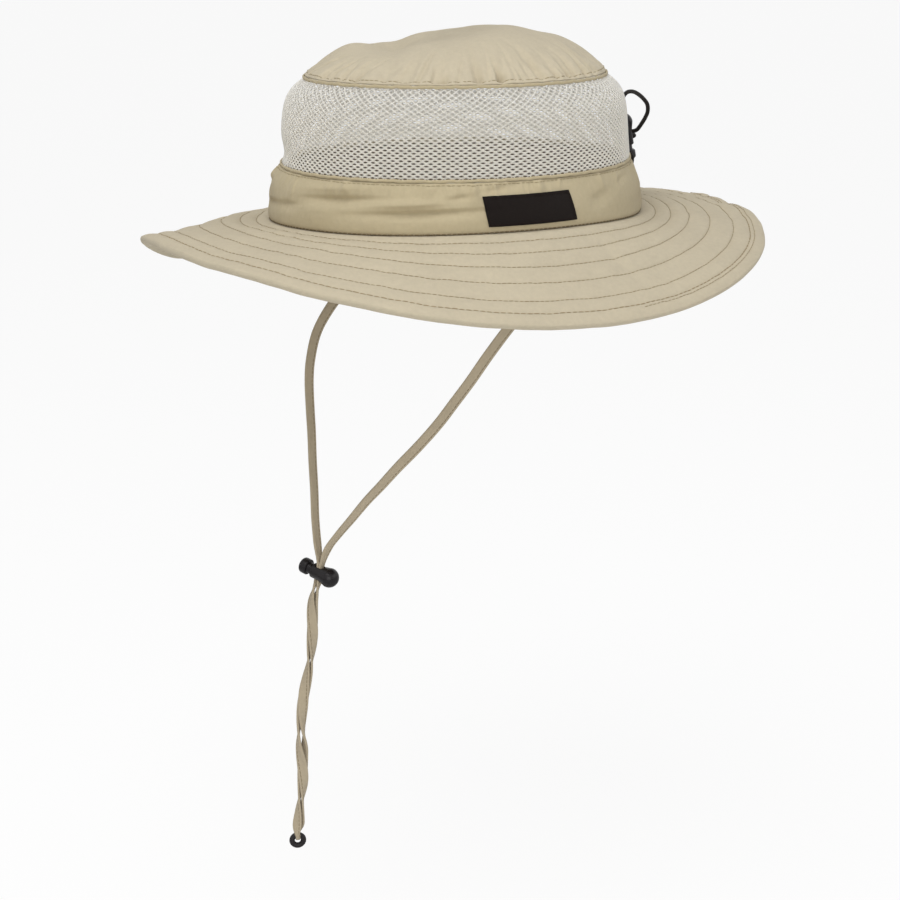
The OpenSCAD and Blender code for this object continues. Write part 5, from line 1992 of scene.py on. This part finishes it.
class HAT_OT_label(HatOperator):
    """Builds the bare woven label on the left of the band"""

    bl_idname = "hat.label"
    bl_label = "Label"

    # Length, height of its foot, height, thickness, tilt, and slant of its ends
    LENGTH = 50 * MM
    FOOT = 3.5 * MM
    HEIGHT = 15 * MM
    THICKNESS = 0.7 * MM
    TILT = math.radians(0.3)
    SHEAR = 0.2
    # Samples along and up the label
    GRID = (81, 31)
    # Gap to the band, and the share of the band's folds that the label follows
    GAP = 0.1 * MM
    FOLLOWS = 0.5
    # Rise of the edges, with the powers that keep it to the ends and to the long sides
    EDGE = 0.25 * MM
    END_POWER = 24
    SIDE_POWER = 8
    # Lift of the loose upper corner, with its share of the length and its power up the height
    CORNER = 0.8 * MM
    CORNER_REACH = 0.06
    CORNER_POWER = 6
    # Weave: pitch and height
    WEAVE = 0.6 * MM
    WEAVE_RISE = 0.06 * MM
    # Stitches: distance inside the edge, lift, pitch, points on a side, and how much paler the thread is
    STITCH_INSET = 1.1 * MM
    STITCH_LIFT = 0.12 * MM
    STITCH_PITCH = 2.2 * MM
    STITCH_POINTS = 59
    STITCH_PALER = 2

    def execute(self, context):
        self.begin(context)
        along = np.linspace(-0.5, 0.5, self.GRID[0])[:, None]
        up = np.linspace(-0.5, 0.5, self.GRID[1])[None, :]
        mesh = grid_mesh("side_label", self.face(along, up))
        finish = Finish("woven_label", self.colours.label, 0.8, Sheen_Weight=0.04, Specular_IOR_Level=0.14)
        finish.tint(self.colours.label, (finish.noise(600), 0.5))
        finish.bump((finish.weave(self.WEAVE), self.WEAVE_RISE))
        piece = add_object("label_patch", mesh, finish.material)
        thicken(piece, self.THICKNESS)
        dress(piece, "hat", "label_weave", "side_label")
        paler = tuple(self.STITCH_PALER * c for c in self.colours.label)
        thread = plain_finish("label_thread", paler, 0.9, grain=900, Specular_IOR_Level=0.12)
        rows = [self.stitch_ring()]
        stitches = sew("label_stitches", rows, self.stitch, thread, seed=9, pitch=self.STITCH_PITCH)
        dress(stitches, "hat", "label_weave")
        return {"FINISHED"}

    def face(self, along, up, out=0.0):
        """Point of the label's face at shares of its length and height from its middle."""
        crown = self.crown
        lean, rise = math.cos(self.TILT), math.sin(self.TILT)
        across = self.LENGTH * along * lean - self.HEIGHT * up * (rise + self.SHEAR)
        z = self.FOOT + self.HEIGHT / 2 + self.LENGTH * along * rise + self.HEIGHT * up * lean
        phi = math.pi / 2 + across / crown.half_y
        ends = np.abs(2 * along) ** self.END_POWER
        edge = self.EDGE * np.maximum(ends, np.abs(2 * up) ** self.SIDE_POWER)
        loose = np.exp(-(((along + 0.5) / self.CORNER_REACH) ** 2)) * (up + 0.5) ** self.CORNER_POWER
        lift = self.FOLLOWS * crown.band_lift(phi, z) + self.THICKNESS + self.GAP
        lift = lift + edge + self.CORNER * loose + out
        return crown.oval(phi, crown.band_inset(z) - lift, z)

    def stitch_ring(self):
        """Points of the seam that runs round the label just inside its edge."""
        half_l = 0.5 - self.STITCH_INSET / self.LENGTH
        half_h = 0.5 - self.STITCH_INSET / self.HEIGHT
        side = np.linspace(-1, 1, self.STITCH_POINTS + 1)[:-1]
        end = np.ones(self.STITCH_POINTS)
        along = np.concatenate([side, end, -side, -end]) * half_l
        up = np.concatenate([-end, side, end, -side]) * half_h
        return self.face(along, up, self.STITCH_LIFT)


class HAT_OT_strap_tabs(HatOperator):
    """Builds the tabs that hold the chin strap under the brim"""

    bl_idname = "hat.strap_tabs"
    bl_label = "Strap tabs"

    EDGE = 0.4 * MM

    def execute(self, context):
        self.begin(context)
        finish = strap_finish(self.colours)
        for side in ("left", "right"):
            node = f"strap_tab_{side}"
            dress(smooth_copy(node, f"tab_{side}", finish, self.EDGE), "hat", "strap_fabric", node)
        return {"FINISHED"}


class HAT_PT_panel(bpy.types.Panel):
    """Lists the hat's operators, sizes and colours in the sidebar"""

    bl_idname = "HAT_PT_panel"
    bl_label = "Boonie hat"
    bl_space_type = "VIEW_3D"
    bl_region_type = "UI"
    bl_category = "Hat"

    def draw(self, context):
        for operator in OPERATORS:
            self.layout.operator(operator.bl_idname)
        for name, group in PROPERTY_GROUPS.items():
            box = self.layout.box()
            box.label(text=group.__name__)
            for key in group.__annotations__:
                box.prop(getattr(context.scene, name), key)


OPERATORS = [
    HAT_OT_stage,
    HAT_OT_chin_strap,
    HAT_OT_drawcord,
    HAT_OT_cord_locks,
    HAT_OT_end_ring,
    HAT_OT_brim,
    HAT_OT_brim_stitching,
    HAT_OT_crown_band,
    HAT_OT_mesh_band,
    HAT_OT_crown_tip,
    HAT_OT_seams,
    HAT_OT_sweatband,
    HAT_OT_label,
    HAT_OT_strap_tabs,
]


def register():
    for name, group in PROPERTY_GROUPS.items():
        bpy.utils.register_class(group)
        setattr(bpy.types.Scene, name, PointerProperty(type=group))
    for operator in OPERATORS:
        bpy.utils.register_class(operator)
    bpy.utils.register_class(HAT_PT_panel)


def unregister():
    bpy.utils.unregister_class(HAT_PT_panel)
    for operator in reversed(OPERATORS):
        bpy.utils.unregister_class(operator)
    for name, group in PROPERTY_GROUPS.items():
        delattr(bpy.types.Scene, name)
        bpy.utils.unregister_class(group)


def main():
    register()
    for operator in OPERATORS:
        family, name = operator.bl_idname.split(".")
        getattr(getattr(bpy.ops, family), name)()
    bpy.context.view_layer.update()


if __name__ == "__main__":
    main()
